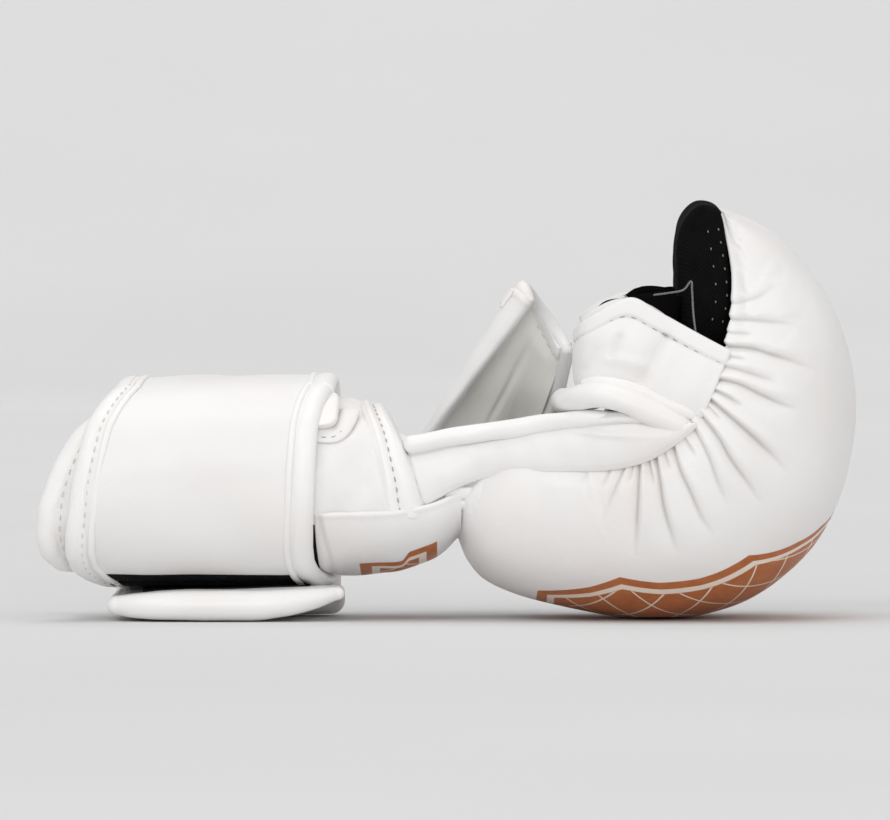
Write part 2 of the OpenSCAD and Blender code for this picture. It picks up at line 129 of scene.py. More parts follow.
class Graph:
    """A procedural material under construction."""

    def __init__(self, name, roughness=0.5):
        self.mat = bpy.data.materials.new(name)
        self.mat.use_nodes = True
        self.tree = self.mat.node_tree
        self.tree.nodes.clear()
        out = self.tree.nodes.new("ShaderNodeOutputMaterial")
        self.shader = self.tree.nodes.new("ShaderNodeBsdfPrincipled")
        self.shader.inputs["Roughness"].default_value = roughness
        self.tree.links.new(self.shader.outputs[0], out.inputs[0])
        self.place = self.node("TexCoord").outputs["Object"]

    def node(self, kind, inputs=None, **props):
        n = self.tree.nodes.new("ShaderNode" + kind)
        for key, value in props.items():
            setattr(n, key, value)
        for key, value in (inputs or {}).items():
            self.put(n.inputs[key], value)
        return n

    def put(self, socket, value):
        if isinstance(value, bpy.types.NodeSocket):
            self.tree.links.new(value, socket)
        else:
            socket.default_value = value

    def math(self, operation, a, b=0.0, clamp=False):
        n = self.node("Math", {0: a, 1: b}, operation=operation)
        n.use_clamp = clamp
        return n.outputs[0]

    def mix(self, factor, a, b):
        n = self.node("Mix", {0: factor, 6: a, 7: b}, data_type="RGBA")
        return n.outputs[2]

    def noise(self, size, detail=2.0, roughness=0.5):
        n = self.node("TexNoise", {"Vector": self.place, "Scale": 1 / (size * MM), "Detail": detail,
                                   "Roughness": roughness})
        return n.outputs["Fac"]

    def cells(self, size):
        n = self.node("TexVoronoi", {"Vector": self.place, "Scale": 1 / (size * MM)})
        return n.outputs["Distance"]

    def field(self, name):
        return self.node("Attribute", attribute_name=name).outputs["Fac"]

    def span(self, value, low, high):
        """0 below low, 1 above high."""
        n = self.node("MapRange", {0: value, 1: low, 2: high, 3: 0.0, 4: 1.0})
        return n.outputs[0]

    def bump(self, *layers):
        """layers are (height, strength, depth in mm)."""
        normal = None
        for height, strength, depth in layers:
            inputs = {"Height": height, "Strength": strength, "Distance": depth * MM}
            if normal is not None:
                inputs["Normal"] = normal
            normal = self.node("Bump", inputs).outputs["Normal"]
        self.put(self.shader.inputs["Normal"], normal)


def rgb(r, g, b):
    """A colour given as it looks on screen, from 0 to 255."""
    lin = [c / 255 / 12.92 if c <= 10 else ((c / 255 + 0.055) / 1.055) ** 2.4 for c in (r, g, b)]
    return (*lin, 1.0)


LEATHER = rgb(237, 236, 235)
LEATHER_WARM = rgb(235, 231, 229)
# Painted shade: the colour the leather is darkened towards in creases, folds, grooves and pleat valleys.
CREASE_SHADE = rgb(178, 166, 156)
COPPER = rgb(188, 112, 58)
COPPER_DEEP = rgb(160, 86, 42)
CREAM = rgb(236, 222, 208)


def leather(name, base=LEATHER, warm=LEATHER_WARM, rough=0.40, prints=False):
    g = Graph(name, rough)
    patches = g.span(g.noise(38, 1), 0.42, 0.70)
    colour = g.mix(patches, base, warm)
    # Painted shade: a per-point field darkens the leather in creases, folds and grooves.
    crease_shade = g.field("crease_shade")
    colour = g.mix(g.math("MULTIPLY", crease_shade, 0.5, clamp=True), colour, CREASE_SHADE)
    grain = g.cells(0.75)
    if prints:
        edge, px, py = g.field("print_edge"), g.field("print_x"), g.field("print_y")
        plate = g.span(edge, -0.12, 0.12)
        outline = g.math("MULTIPLY", g.span(edge, 3.4, 3.6), g.span(edge, 6.1, 5.9))
        field = g.span(edge, 6.1, 6.3)

        def lines(slope, pitch, half):
            along = g.math("ADD", px, g.math("MULTIPLY", py, slope))
            saw = g.math("FRACT", g.math("DIVIDE", g.math("ADD", along, 400.0), pitch))
            near = g.math("MULTIPLY", g.math("ABSOLUTE", g.math("SUBTRACT", saw, 0.5)), pitch)
            return g.span(near, half + 0.1, half - 0.1)

        lattice = g.math("MAXIMUM", lines(0.8, 17.0, 0.42), lines(-0.8, 17.0, 0.42))
        lattice = g.math("MULTIPLY", lattice, field)
        pale = g.math("MAXIMUM", outline, lattice, clamp=True)
        worn = g.span(g.noise(6, 4, 0.7), 0.25, 0.8)
        copper = g.mix(worn, COPPER, COPPER_DEEP)
        ink = g.mix(pale, copper, CREAM)
        colour = g.mix(plate, colour, ink)
    g.put(g.shader.inputs["Base Color"], colour)
    g.put(g.shader.inputs["Roughness"], g.math("ADD", g.math("MULTIPLY", g.noise(9, 3), 0.16), rough - 0.08))
    g.shader.inputs["Specular IOR Level"].default_value = 0.5
    g.bump((g.noise(13, 3, 0.55), 0.32, 0.9), (grain, 0.22, 0.10), (g.noise(0.35, 2), 0.12, 0.05))
    return g.mat


def cloth(name, base, lit, weave=0.55, rough=0.95, fuzz=0.0):
    g = Graph(name, rough)
    over = g.node("TexWave", {"Vector": g.place, "Scale": 0.32 / (weave * MM), "Distortion": 1.2, "Detail": 1.0},
                  bands_direction="DIAGONAL").outputs["Fac"]
    under = g.cells(weave)
    thread = g.math("MULTIPLY", over, under)
    mottled = g.math("ADD", g.math("MULTIPLY", thread, 0.45), g.math("MULTIPLY", g.noise(7, 4, 0.65), 0.55))
    # Painted highlight and shade on the weave: the raised threads get the lighter colour, the hollows between them
    # the darker one, blended with a random mottle of the fabric.
    g.put(g.shader.inputs["Base Color"], g.mix(g.span(mottled, 0.2, 0.75), base, lit))
    g.shader.inputs["Sheen Weight"].default_value = fuzz
    g.shader.inputs["Sheen Roughness"].default_value = 0.6
    g.shader.inputs["Specular IOR Level"].default_value = 0.06
    g.bump((g.noise(8, 2), 0.3, 0.5), (thread, 0.5, 0.16), (g.noise(0.3, 2), 0.35, 0.1))
    return g.mat


def tape(name, base, lit, pile):
    """Loop or hook tape: a dense random pile of the given size."""
    g = Graph(name, 0.95)
    tufts = g.cells(pile)
    # Painted highlight and shade: the tops of the tufts get the lighter colour and the gaps between them the darker
    # one.
    g.put(g.shader.inputs["Base Color"], g.mix(g.span(tufts, 0.1, 0.8), lit, base))
    g.shader.inputs["Sheen Weight"].default_value = 0.04
    g.shader.inputs["Specular IOR Level"].default_value = 0.06
    g.bump((g.noise(pile * 5, 3), 0.5, 0.6), (tufts, 0.9, 0.4))
    return g.mat


def thread(name, colour, dark):
    g = Graph(name, 0.65)
    twist = g.noise(0.5, 2)
    g.put(g.shader.inputs["Base Color"], g.mix(twist, colour, dark))
    g.bump((twist, 0.4, 0.1))
    return g.mat


WHITE = leather("white_leather")
WHITE_PRINT = leather("white_leather_printed", prints=True)
BINDING = leather("white_binding", base=rgb(243, 242, 241), warm=rgb(238, 234, 231), rough=0.36)
# Pale lining leather with a base set brighter than the main leather: painted light that lifts the shade inside the
# thumb loop.
LINING_BRIGHTENED = leather("thumb_lining_leather", base=rgb(246, 245, 239), warm=rgb(240, 238, 230), rough=0.6)
BLACK = cloth("black_lining_fabric", rgb(6, 6, 7), rgb(17, 17, 18))
HOOD = cloth("black_hood_jersey", rgb(9, 9, 10), rgb(22, 22, 22), weave=0.7)
TRIM = cloth("grey_edge_tape", rgb(96, 96, 94), rgb(150, 149, 146), weave=0.5)
LOOP = tape("loop_tape_pile", rgb(5, 5, 6), rgb(20, 20, 21), 0.45)
HOOK = tape("hook_tape_pile", rgb(14, 14, 15), rgb(44, 44, 46), 0.9)
STITCH = thread("grey_thread", rgb(232, 229, 224), rgb(206, 201, 194))
# Painted shade: thread darkened for the stitch rows that run along seams, hems and folds in shade.
STITCH_SHADED = thread("shaded_thread", rgb(196, 189, 180), rgb(150, 142, 132))
STITCH_FLECK = thread("fleck_thread", rgb(150, 150, 147), rgb(84, 84, 82))


# ---- mesh building ----

def attach(obj, way):
    """way is a body's name, and the piece is parented to that body's empty; any other way, such as (body, body,
    start, end), only bakes the piece's transform in place and does not make it bend.
    """
    if isinstance(way, str):
        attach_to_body(obj, way)
    else:
        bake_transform(obj)


def build(name, verts, faces, mat, way, fields=None, replaces=(), merge=True):
    mesh = bpy.data.meshes.new(name)
    mesh.from_pydata((np.asarray(verts) * MM).tolist(), [], faces if isinstance(faces, list) else faces.tolist())
    for key, values in (fields or {}).items():
        layer = mesh.attributes.new(key, "FLOAT", "POINT")
        layer.data.foreach_set("value", np.asarray(values, np.float32).ravel())
    bm = bmesh.new()
    bm.from_mesh(mesh)
    if merge:
        bmesh.ops.remove_doubles(bm, verts=bm.verts, dist=1e-6)
    bmesh.ops.recalc_face_normals(bm, faces=bm.faces)
    bm.to_mesh(mesh)
    bm.free()
    mesh.shade_smooth()
    mesh.materials.append(mat)
    obj = bpy.data.objects.new(name, mesh)
    bpy.context.scene.collection.objects.link(obj)
    attach(obj, way)
    if replaces:
        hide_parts(*replaces)
    return obj


OFF_PRINT = 1000.0  # how far outside the print every point lies that isn't on the outer face


def solid(mid, off, k=4, bulge=1.0, wrap=False, caps=(True, True), fields=None):
    """Closed solid with rounded borders. mid is a grid of points halfway through it and off the vectors to its
    outer face. wrap joins the last row to the first. Returns vertices, faces and the fields of each vertex."""
    rows, cols, _ = mid.shape
    h = np.linalg.norm(off, axis=2, keepdims=True)
    n = off / np.maximum(h, 1e-9)
    turn = np.radians(np.linspace(90, -90, k + 2)[1:-1])

    def rim(j, inner, angles):
        out = mid[:, j] - mid[:, inner]
        out = unit(out - (out * n[:, j]).sum(1, keepdims=True) * n[:, j])
        return [mid[:, j] + (n[:, j] * math.sin(p) + out * (math.cos(p) * bulge)) * h[:, j] for p in angles]

    columns = list(range(cols)) + [cols - 1] * k + list(reversed(range(cols))) + [0] * k
    facing = [1.0] * cols + [0.0] * (2 * k + cols)
    facing[-k:] = [0.0] * k
    loop = [mid[:, j] + off[:, j] for j in range(cols)] + rim(cols - 1, cols - 2, turn)
    loop += [mid[:, j] - off[:, j] for j in reversed(range(cols))] + rim(0, 1, turn[::-1])
    loop = np.stack(loop, 1)
    centre = mid[:, columns]
    height = h[:, columns]
    source = list(range(rows))
    if not wrap:
        turns = np.radians(np.linspace(0, 90, k + 1)[1:])

        def cap(end, inner):
            out = centre[end] - centre[inner]
            side = unit(loop[end] - centre[end])
            out = unit(out - (out * side).sum(1, keepdims=True) * side) * height[end] * bulge
            return [centre[end] + (loop[end] - centre[end]) * math.cos(p) + out * math.sin(p) for p in turns]

        first = np.stack(cap(0, 1)[::-1]) if caps[0] else loop[:0]
        last = np.stack(cap(rows - 1, rows - 2)) if caps[1] else loop[:0]
        source = [0] * len(first) + source + [rows - 1] * len(last)
        loop = np.concatenate([first, loop, last])
    total, m = loop.shape[:2]
    i = np.arange(total if wrap else total - 1)[:, None]
    j = np.arange(m)[None, :]
    i2, j2 = (i + 1) % total, (j + 1) % m
    faces = np.stack([i * m + j, i2 * m + j, i2 * m + j2, i * m + j2], -1).reshape(-1, 4)
    made = {}
    for key, values in (fields or {}).items():
        below = OFF_PRINT if key == "print_edge" else 0.0
        v = (np.asarray(values, float)[:, columns] + below) * np.array(facing)[None, :]
        made[key] = v[source].ravel() - below
    return loop.reshape(-1, 3), faces, made


def skin(name, mid, off, mat, way, slot="white_leather", replaces=(), fill=None, **shape):
    verts, faces, made = solid(mid, off, **shape)
    return build(name, verts, faces, mat, way, made, replaces)


def closed_rings(rows, around):
    """Faces of a stack of rings, with both ends closed."""
    i, j = np.arange(rows - 1)[:, None] * around, np.arange(around)[None, :]
    j2 = (j + 1) % around
    faces = np.stack([i + j, i + around + j, i + around + j2, i + j2], -1).reshape(-1, 4).tolist()
    return faces + [list(range(around)), list(range(rows * around - 1, (rows - 1) * around - 1, -1))]


def tube(path, wide, high, up, sides, k):
    """Swept roll along path: half width wide across, half height high along up, with round ends."""
    path = np.asarray(path, float)
    n = len(path)
    tangent = unit(np.gradient(path, axis=0))
    up = unit(up - (up * tangent).sum(1, keepdims=True) * tangent)
    side = np.cross(tangent, up)
    wide = np.broadcast_to(np.asarray(wide, float), (n,))
    high = np.broadcast_to(np.asarray(high, float), (n,))
    centres, w, h, ups, sides_v = [path], [wide], [high], [up], [side]
    if k:
        ang = np.radians(np.linspace(0, 88, k + 1)[1:])
        for end, sign in ((0, -1), (n - 1, 1)):
            c = np.stack([path[end] + sign * tangent[end] * min(wide[end], high[end]) * math.sin(a) for a in ang])
            s = np.cos(ang)
            blocks = (c, wide[end] * s, high[end] * s, np.repeat(up[end:end + 1], k, 0),
                      np.repeat(side[end:end + 1], k, 0))
            for lst, b in zip((centres, w, h, ups, sides_v), blocks):
                lst.insert(0 if sign < 0 else len(lst), b[::sign])
    c, w, h = np.concatenate(centres), np.concatenate(w), np.concatenate(h)
    ups, sides_v = np.concatenate(ups), np.concatenate(sides_v)
    a = np.linspace(0, 2 * math.pi, sides, endpoint=False)
    ring = (c[:, None] + sides_v[:, None] * (w[:, None] * np.cos(a))[..., None]
            + ups[:, None] * (h[:, None] * np.sin(a))[..., None])
    return ring.reshape(-1, 3), closed_rings(len(c), sides)


def roll(name, path, wide, high, up, sides, k, way, mat=None, wave=None, replaces=()):
    """A tube as a piece. wave is height, size and seed of its unevenness."""
    verts, faces = tube(path, wide, high, up, sides, k)
    if wave:
        verts = verts + wave[0] * ripple(verts, wave[1], wave[2])[:, None]
    return build(name, verts, faces, mat or BINDING, way, replaces=replaces)


def stitches(name, path, up, mat, way, pitch=3.3, length=2.2, radius=0.33, sink=0.1):
    """A row of separate thread loops lying along path, with up pointing out of the leather."""
    path, up = np.asarray(path, float), np.asarray(up, float)
    arc = run_length(path)
    count = max(2, int(arc[-1] / pitch))
    at = (np.arange(count) + 0.5) * arc[-1] / count

    def along(s, values):
        return np.stack([np.interp(s, arc, values[:, k]) for k in range(3)], -1)

    steps = np.array([-0.5, -0.36, 0.0, 0.36, 0.5]) * length
    thick = np.array([0.30, 0.9, 1.0, 0.9, 0.30]) * radius
    rise = np.array([-0.9, 0.2, 0.5, 0.2, -0.9]) * radius - sink
    sides = 6
    a = np.linspace(0, 2 * math.pi, sides, endpoint=False)
    verts, faces = [], []
    for k in range(count):
        s = at[k] + steps
        c, n = along(s, path), unit(along(s, up))
        t = unit(c[-1] - c[0])[None, :]
        n = unit(n - (n * t).sum(1, keepdims=True) * t)
        b = np.cross(t, n)
        c = c + n * rise[:, None]
        ring = (c[:, None] + n[:, None] * (thick[:, None] * np.sin(a))[..., None]
                + b[:, None] * (thick[:, None] * np.cos(a))[..., None])
        base = k * len(steps) * sides
        verts.append(ring.reshape(-1, 3))
        faces += [[base + v for v in face] for face in closed_rings(len(steps), sides)]
    return build(name, np.concatenate(verts), faces, mat, way, merge=False)


# ---- padding over the back of the hand ----

SEAM = [(14, 49.5), (22, 50.5), (38, 51), (55, 51.5), (69, 55.5), (81, 65), (88, 79), (93.5, 94), (95.5, 114),
        (92, 134)]
CROWN = [(8, 27), (9.5, 19), (13, 13), (23, 8.6), (36, 5), (52.5, 1.8), (70, -0.2), (86.5, 1.6), (101, 6.2),
         (113, 14.4),
         (123, 25), (130, 38.5), (134, 53), (135.6, 68), (134.6, 83), (130.6, 97.5), (123.4, 111), (111.5, 125),
         (93, 135.4)]
INNER = [(16, 38), (24, 33), (38, 30), (60, 28.5), (84, 35), (98, 52), (102, 70), (102, 86), (98, 112), (91.5, 132.5)]
HALF_WIDTHS = 57 * np.array([0.64, 0.77, 0.86, 0.93, 0.98, 1, 0.98, 0.93, 0.85, 0.76])
SIDE_WALLS = [3.5, 7, 9, 9, 9, 9, 8, 8, 6, 2.5]
TUCK = 4.0
RIM = 2.5


def pad_surface(t, a, crown, wall, tuck):
    s, c = np.sin(np.radians(a)), np.cos(np.radians(a))
    depth = np.maximum(s, 0) ** 0.85
    start, end = spline(SEAM, t), spline(crown, t)
    w = spline(HALF_WIDTHS, t) - wall
    x, z = lerp(start[..., 0], end[..., 0], depth), lerp(start[..., 1], end[..., 1], depth)
    return np.stack([x, -(w * spow(c, 0.75) - np.sign(c) * tuck * (1 - s) ** 4), z], -1)


def pad_outer(t, a):
    p = pad_surface(t, a, CROWN, 0, TUCK)
    s = np.maximum(np.sin(np.radians(a)), 0)
    puff = 3.6 * np.clip(1 - t / 0.13, 0, 1) ** 1.3 * np.minimum(1, 2.6 * s) ** 0.8
    p[..., 0] -= puff
    return p


def pad_inner(t, a):
    wall = spline(SIDE_WALLS, t)
    return pad_surface(t, a, INNER, wall, TUCK + RIM - wall)


# Creases that run from the gathered seam over the side wall, as (x, z) points, with depth and width at the seam
CREASES = [
    ([(54.5, 51), (51, 43.5)], 0.7, 1.2), ([(59.5, 52.5), (56, 44.5), (52, 34.5)], 1.2, 1.3),
    ([(62, 53), (60.5, 46)], 0.8, 0.8), ([(64, 54.5), (63.6, 43.5), (63, 31.5), (62.8, 21)], 2.1, 1.4),
    ([(66.5, 55.5), (69, 44.5)], 1.3, 0.9), ([(69, 56.5), (70.5, 48), (72, 38), (74.5, 29), (76.5, 22.5)], 2.3, 1.4),
    ([(72, 57), (74, 50)], 0.9, 0.8), ([(75, 58.5), (77.5, 50), (80.5, 43.5), (84.5, 34.5), (89, 28.5)], 1.9, 1.6),
    ([(78.5, 61.5), (82.5, 54.5)], 0.9, 0.9), ([(81.5, 65), (86.5, 55), (90, 45.5), (93.5, 38)], 1.5, 1.9),
    ([(84, 69), (90, 61), (94, 54), (100, 45.5), (104.5, 39)], 2.1, 1.5), ([(86, 72), (91, 66.5)], 0.9, 0.8),
    ([(87, 74), (93, 68.8), (98.5, 64), (104, 59), (109, 54), (113.5, 49)], 2.4, 1.3),
    ([(88.5, 77), (93, 74.5), (98, 71)], 1.5, 0.8),
    ([(90, 80.5), (97, 78.6), (104.5, 75), (111, 72), (116.5, 70)], 2.0, 1.6),
    ([(91.5, 84.8), (101, 82), (109.5, 79)], 1.3, 1.6), ([(92.5, 88), (99.5, 86.5)], 0.8, 0.9),
    ([(93.2, 91.3), (101, 90.4), (106.5, 88.8), (113.5, 86.5), (122, 83)], 2.1, 1.6),
    ([(93.8, 95.5), (102, 94.8)], 0.7, 1.2), ([(94.2, 100), (103.5, 99.4), (117, 98)], 1.3, 1.9),
    ([(94.8, 105), (103, 107), (109.5, 112)], 0.7, 2.2), ([(47, 51), (45, 45)], 0.4, 1.5),
]


def gathers(p, near):
    """Depth of the creases below the padded surface, and a mask of painted shade along their valleys."""
    rng = np.random.default_rng(5 if near else 17)
    depth, crease_shade = np.zeros(p.shape[:2]), np.zeros(p.shape[:2])
    flat = p[..., [0, 2]]
    for points, deep, width in CREASES:
        line = spline(points, evenly(44))
        jitter = rng.normal(size=4)
        if not near:
            line = line + jitter[:2] * 0.9 + (line - line[0]) * (0.10 * jitter[2])
            deep = deep * (1 - 0.2 * abs(jitter[3]))
        reach = width * 7 + 4
        found = ((flat > line.min(0) - reach) & (flat < line.max(0) + reach)).all(-1)
        q = flat[found]
        away = q[:, None] - line[None]
        k = np.argmin((away**2).sum(-1), 1)
        along = k / 43.0
        direction = unit(np.gradient(line, axis=0))[k]
        gap = away[np.arange(len(k)), k]
        s = direction[:, 0] * gap[:, 1] - direction[:, 1] * gap[:, 0]
        beyond = np.clip((gap * direction).sum(1) * np.where(k > 0, 1, -1), 0, None)
        spread = width * (0.55 + 1.5 * along)
        sharp = np.where(s > 0, 0.42, 1.25) * spread
        fade = smooth((1.05 - along) / 0.55) * np.exp(-(beyond / 2.5) ** 2)
        depth[found] += deep * fade * np.exp(-(np.abs(s) / sharp) ** 1.15)
        depth[found] -= 0.28 * deep * fade * np.exp(-((s - 1.1 * spread) / spread) ** 2)
        # Painted shade along each valley of the gathers, strongest near the seam.
        crease_shade[found] += fade * min(1, deep / 2) * np.exp(-(s / (0.35 + 0.5 * along)) ** 2)
    return depth, np.clip(crease_shade, 0, 1)


PAD_PRESSURE = 5.0
PAD_GROWTH = 0.012
PAD_CAP = 4.0
PAD_SHARE = 0.45
REST_HEIGHT = 0.6
REST_SQUASH = 0.25


def inflate(p, pressure, growth, cap, frames=20):
    """Cloth run on an open grid whose border is pinned. Returns how far each point moved, in millimetres."""
    rows, cols, _ = p.shape
    size = 0.01
    i = np.arange(rows - 1)[:, None]
    j = np.arange(cols - 1)[None, :]
    faces = np.stack([i * cols + j, i * cols + j + 1, (i + 1) * cols + j + 1, (i + 1) * cols + j], -1).reshape(-1, 4)
    mesh = bpy.data.meshes.new("relaxing")
    mesh.from_pydata((p.reshape(-1, 3) * size).tolist(), [], faces.tolist())
    obj = bpy.data.objects.new("relaxing", mesh)
    bpy.context.scene.collection.objects.link(obj)
    pins = np.zeros((rows, cols), bool)
    pins[[0, -1]] = True
    pins[:, [0, -1]] = True
    group = obj.vertex_groups.new(name="pins")
    group.add(np.flatnonzero(pins.ravel()).tolist(), 1.0, "REPLACE")
    cloth_modifier = obj.modifiers.new("cloth", "CLOTH")
    s = cloth_modifier.settings
    s.quality = 6
    s.mass = 0.3
    s.tension_stiffness = s.compression_stiffness = 15
    s.shear_stiffness = 5
    s.bending_stiffness = 0.6
    s.vertex_group_mass = "pins"
    s.effector_weights.gravity = 0
    s.use_pressure = True
    s.uniform_pressure_force = pressure
    s.shrink_min = -growth
    cloth_modifier.point_cache.frame_start = 1
    cloth_modifier.point_cache.frame_end = frames
    scene = bpy.context.scene
    for f in range(1, frames + 1):
        scene.frame_set(f)
    evaluated = obj.evaluated_get(bpy.context.evaluated_depsgraph_get())
    flat = np.empty(rows * cols * 3, np.float32)
    evaluated.data.vertices.foreach_get("co", flat)
    scene.frame_set(1)
    bpy.data.objects.remove(obj)
    moved = flat.reshape(rows, cols, 3) / size - p
    length = np.linalg.norm(moved, axis=2, keepdims=True)
    return moved * np.minimum(1, cap / np.maximum(length, 1e-9))


def resample(values, u, v):
    """values lie on a regular grid over 0..1 by 0..1; read them at u, v."""
    rows, cols = values.shape[:2]
    x, y = np.clip(u, 0, 1) * (rows - 1), np.clip(v, 0, 1) * (cols - 1)
    i, j = np.minimum(x.astype(int), rows - 2), np.minimum(y.astype(int), cols - 2)
    f, g = (x - i)[..., None], (y - j)[..., None]
    f, g = f * f * (3 - 2 * f), g * g * (3 - 2 * g)
    return ((values[i, j] * (1 - f) + values[i + 1, j] * f) * (1 - g)
            + (values[i, j + 1] * (1 - f) + values[i + 1, j + 1] * f) * g)


rows, cols = ((620, 200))
u = np.linspace(-1, 1, cols)
angles = 90 * (1 + 0.45 * u + 0.55 * np.sin(u * math.pi / 2))
angles = 180 * (angles - angles[0]) / (angles[-1] - angles[0])
T, A = grid(evenly(rows), angles)
outer = pad_outer(T, A)
normal = grid_normals(outer)
if (normal[rows // 3, cols // 2] @ np.array([0, 0, 1.0])) > 0:
    normal = -normal
coarse_t, coarse_a = grid(evenly(96), np.linspace(0, 180, 48))
start = pad_outer(coarse_t, coarse_a)
swell = inflate(start, PAD_PRESSURE, PAD_GROWTH, PAD_CAP)
outer = outer + PAD_SHARE * resample(swell, T, A / 180)
near_depth, near_crease_shade = gathers(outer, True)
far_depth, far_crease_shade = gathers(outer, False)
depth = np.where(A < 90, near_depth, far_depth)
crease_shade = np.where(A < 90, near_crease_shade, far_crease_shade)
from_seam = np.minimum(A, 180 - A)
gathered = smooth((T - 0.17) / 0.06) * smooth((0.93 - T) / 0.06) * smooth((86 - from_seam) / 20)
puffed = 1.1 * gathered * smooth(from_seam / 6) * np.clip(1 - from_seam / 60, 0, 1)
lumps = 0.3 * ripple(outer, 38, 3) * smooth(from_seam / 20)
outer = outer + normal * (puffed - depth * gathered + lumps)[..., None]
low = outer[..., 2] < REST_HEIGHT
outer[..., 2] = np.where(low, REST_HEIGHT + (outer[..., 2] - REST_HEIGHT) * REST_SQUASH, outer[..., 2])
inner = pad_inner(T, A)
middle, half = between(outer, inner)

# Plate printed on the back of the hand: its edge as station and angle
PLATE = np.array([(0.20, 64), (0.265, 51.5), (0.303, 42.5), (0.35, 45.5), (0.40, 46.5), (0.45, 45.8), (0.478, 45.8),
                  (0.505, 52.5), (0.54, 61), (0.575, 72), (0.60, 84)])
centre = cols // 2
arc = run_length(outer)
arc_mid = np.array([np.interp(90, angles, arc[i]) for i in range(rows)])
print_y = arc - arc_mid[:, None]
line = outer[:, centre]
print_x = run_length(line)
edge_angle = np.interp(T[:, 0], PLATE[:, 0], PLATE[:, 1])
half_plate = np.array([arc_mid[i] - np.interp(edge_angle[i], angles, arc[i]) for i in range(rows)])
x_from, x_to = np.interp([PLATE[0, 0], PLATE[-1, 0]], T[:, 0], print_x)
print_edge = np.minimum(half_plate[:, None] - np.abs(print_y), np.minimum(print_x - x_from, x_to - print_x)[:, None])

# The padded shell's leather gets painted shade along the valleys of the gathers.
pad = skin("padded_back_shell", middle, half, WHITE_PRINT, "hand", k=5, bulge=0.9,
           fields={"crease_shade": crease_shade * gathered, "print_edge": print_edge,
                   "print_x": np.repeat(print_x[:, None], cols, 1), "print_y": print_y},
           replaces=("back_shell", "back_foam_outer", "back_foam_inner"), fill=0.9)

t = np.linspace(0.045, 0.76, 120)
a = np.linspace(9, 171, 70)
TL, AL = grid(t, a)
skin_in = pad_inner(TL, AL)
towards = unit(skin_in - pad_outer(TL, AL))
skin_in = skin_in + towards * (0.55 + 0.35 * ripple(skin_in, 22, 8))[..., None]
lining = skin("palm_cavity_lining", skin_in, towards * 0.4, BLACK, "hand", "black_lining", k=2,
              replaces=("back_lining",))


# ---- black hood in front of the fingertips ----

hood_lo, hood_hi = box("finger_hood_cover")
HOOD_SECTION = [(92.2, 90), (86, 88.6), (80.2, 91.5), (77.6, 100), (76.9, 112), (76.8, 124), (78.6, 132.2),
                (83.6, 137.6), (89.4, 136.8), (92.3, 132), (94.0, 121), (95.2, 108), (94.6, 97), (92.2, 90)]
around = 96
section = spline(HOOD_SECTION, np.linspace(0, 1, around + 1)[:-1])
hub = np.array([91.5, 112.0])
reach = min(-hood_lo[1], hood_hi[1]) - 1.0
round_part = 0.16
turn = np.linspace(0, math.pi / 2, 22)
span = np.concatenate([-1 + round_part * (1 - np.cos(turn)), np.linspace(-0.82, 0.82, 40),
                       1 - round_part * (1 - np.cos(turn[::-1]))])
edge_in = np.clip((1 - np.abs(span)) / round_part, 0, 1)
full = np.clip(1 - (1 - edge_in) ** 2.4, 0, 1) ** 0.5
ring = hub + (section - hub) * (0.04 + 0.96 * full)[:, None, None]
sag = 0.5 * (1 - np.abs(span) ** 2)
hood = np.stack([ring[..., 0], np.repeat(span[:, None] * reach, around, 1), ring[..., 1]], -1)
hood[..., 0] -= (sag * full)[:, None] * np.clip((hub[0] - ring[..., 0]) / 14, 0, 1)
hood += unit(hood - np.stack([np.full(hood.shape[:2], hub[0]), hood[..., 1], np.full(hood.shape[:2], hub[1])], -1)) \
    * (0.45 * ripple(hood, 19, 21) * full[:, None])[..., None]
build("finger_hood_pad", hood.reshape(-1, 3), closed_rings(len(span), around), HOOD, "hand",
      replaces=("finger_hood_cover", "finger_hood_foam"))

for side, label in ((-1, "near"), (1, "far")):
    for offset, pitch in ((2.0, 4.4), (5.6, 5.2)):
        seam = spline([(93.2, 97), (95.0, 108), (93.6, 121), (91.8, 131.5)], evenly(60))
        edge = hood[:, :, 1] * side
        y_at = [edge[np.hypot(hood[..., 0] - x, hood[..., 2] - z) < 2.2].max()
                for x, z in zip(seam[:, 0] - offset, seam[:, 1])]
        path = np.stack([seam[:, 0] - offset, side * (np.array(y_at) + 0.05), seam[:, 1]], -1)
        up = np.tile([0.0, side, 0.0], (60, 1))
        stitches(f"hood_{label}_stitches_{int(offset)}", path, up, STITCH_FLECK, "hand",
                 pitch=pitch, length=0.9, radius=0.24, sink=0.0)


# ---- finger loops ----

FINGERS = {"little": -33.4, "ring": -11.2, "middle": 11.2, "index": 33.4}


def finger_grid(y_mid, inset, tall, v, a):
    """Rounded ring around one finger: v runs up, a runs around from the back of the hand."""
    V, AA = v[None, :], np.radians(a)[:, None]
    palm_x, back_x = 45.6 + inset, lerp(72.8, 75.0 + (6.0 if tall else 0), V) - inset
    mid_x, reach_x = (palm_x + back_x) / 2, (back_x - palm_x) / 2
    x = mid_x + reach_x * spow(np.cos(AA), 0.7)
    hem = 105.5 - 0.036 * (x - 60) ** 2
    hem = lerp(hem, tall, smooth((x - 59) / 6)) if tall else hem
    z = lerp(78 - (x - mid_x) * 0.05, hem, V)
    y = y_mid - (10.6 - inset) * spow(np.sin(AA), 0.7) + 0 * V
    return np.stack([x, y, z], -1)


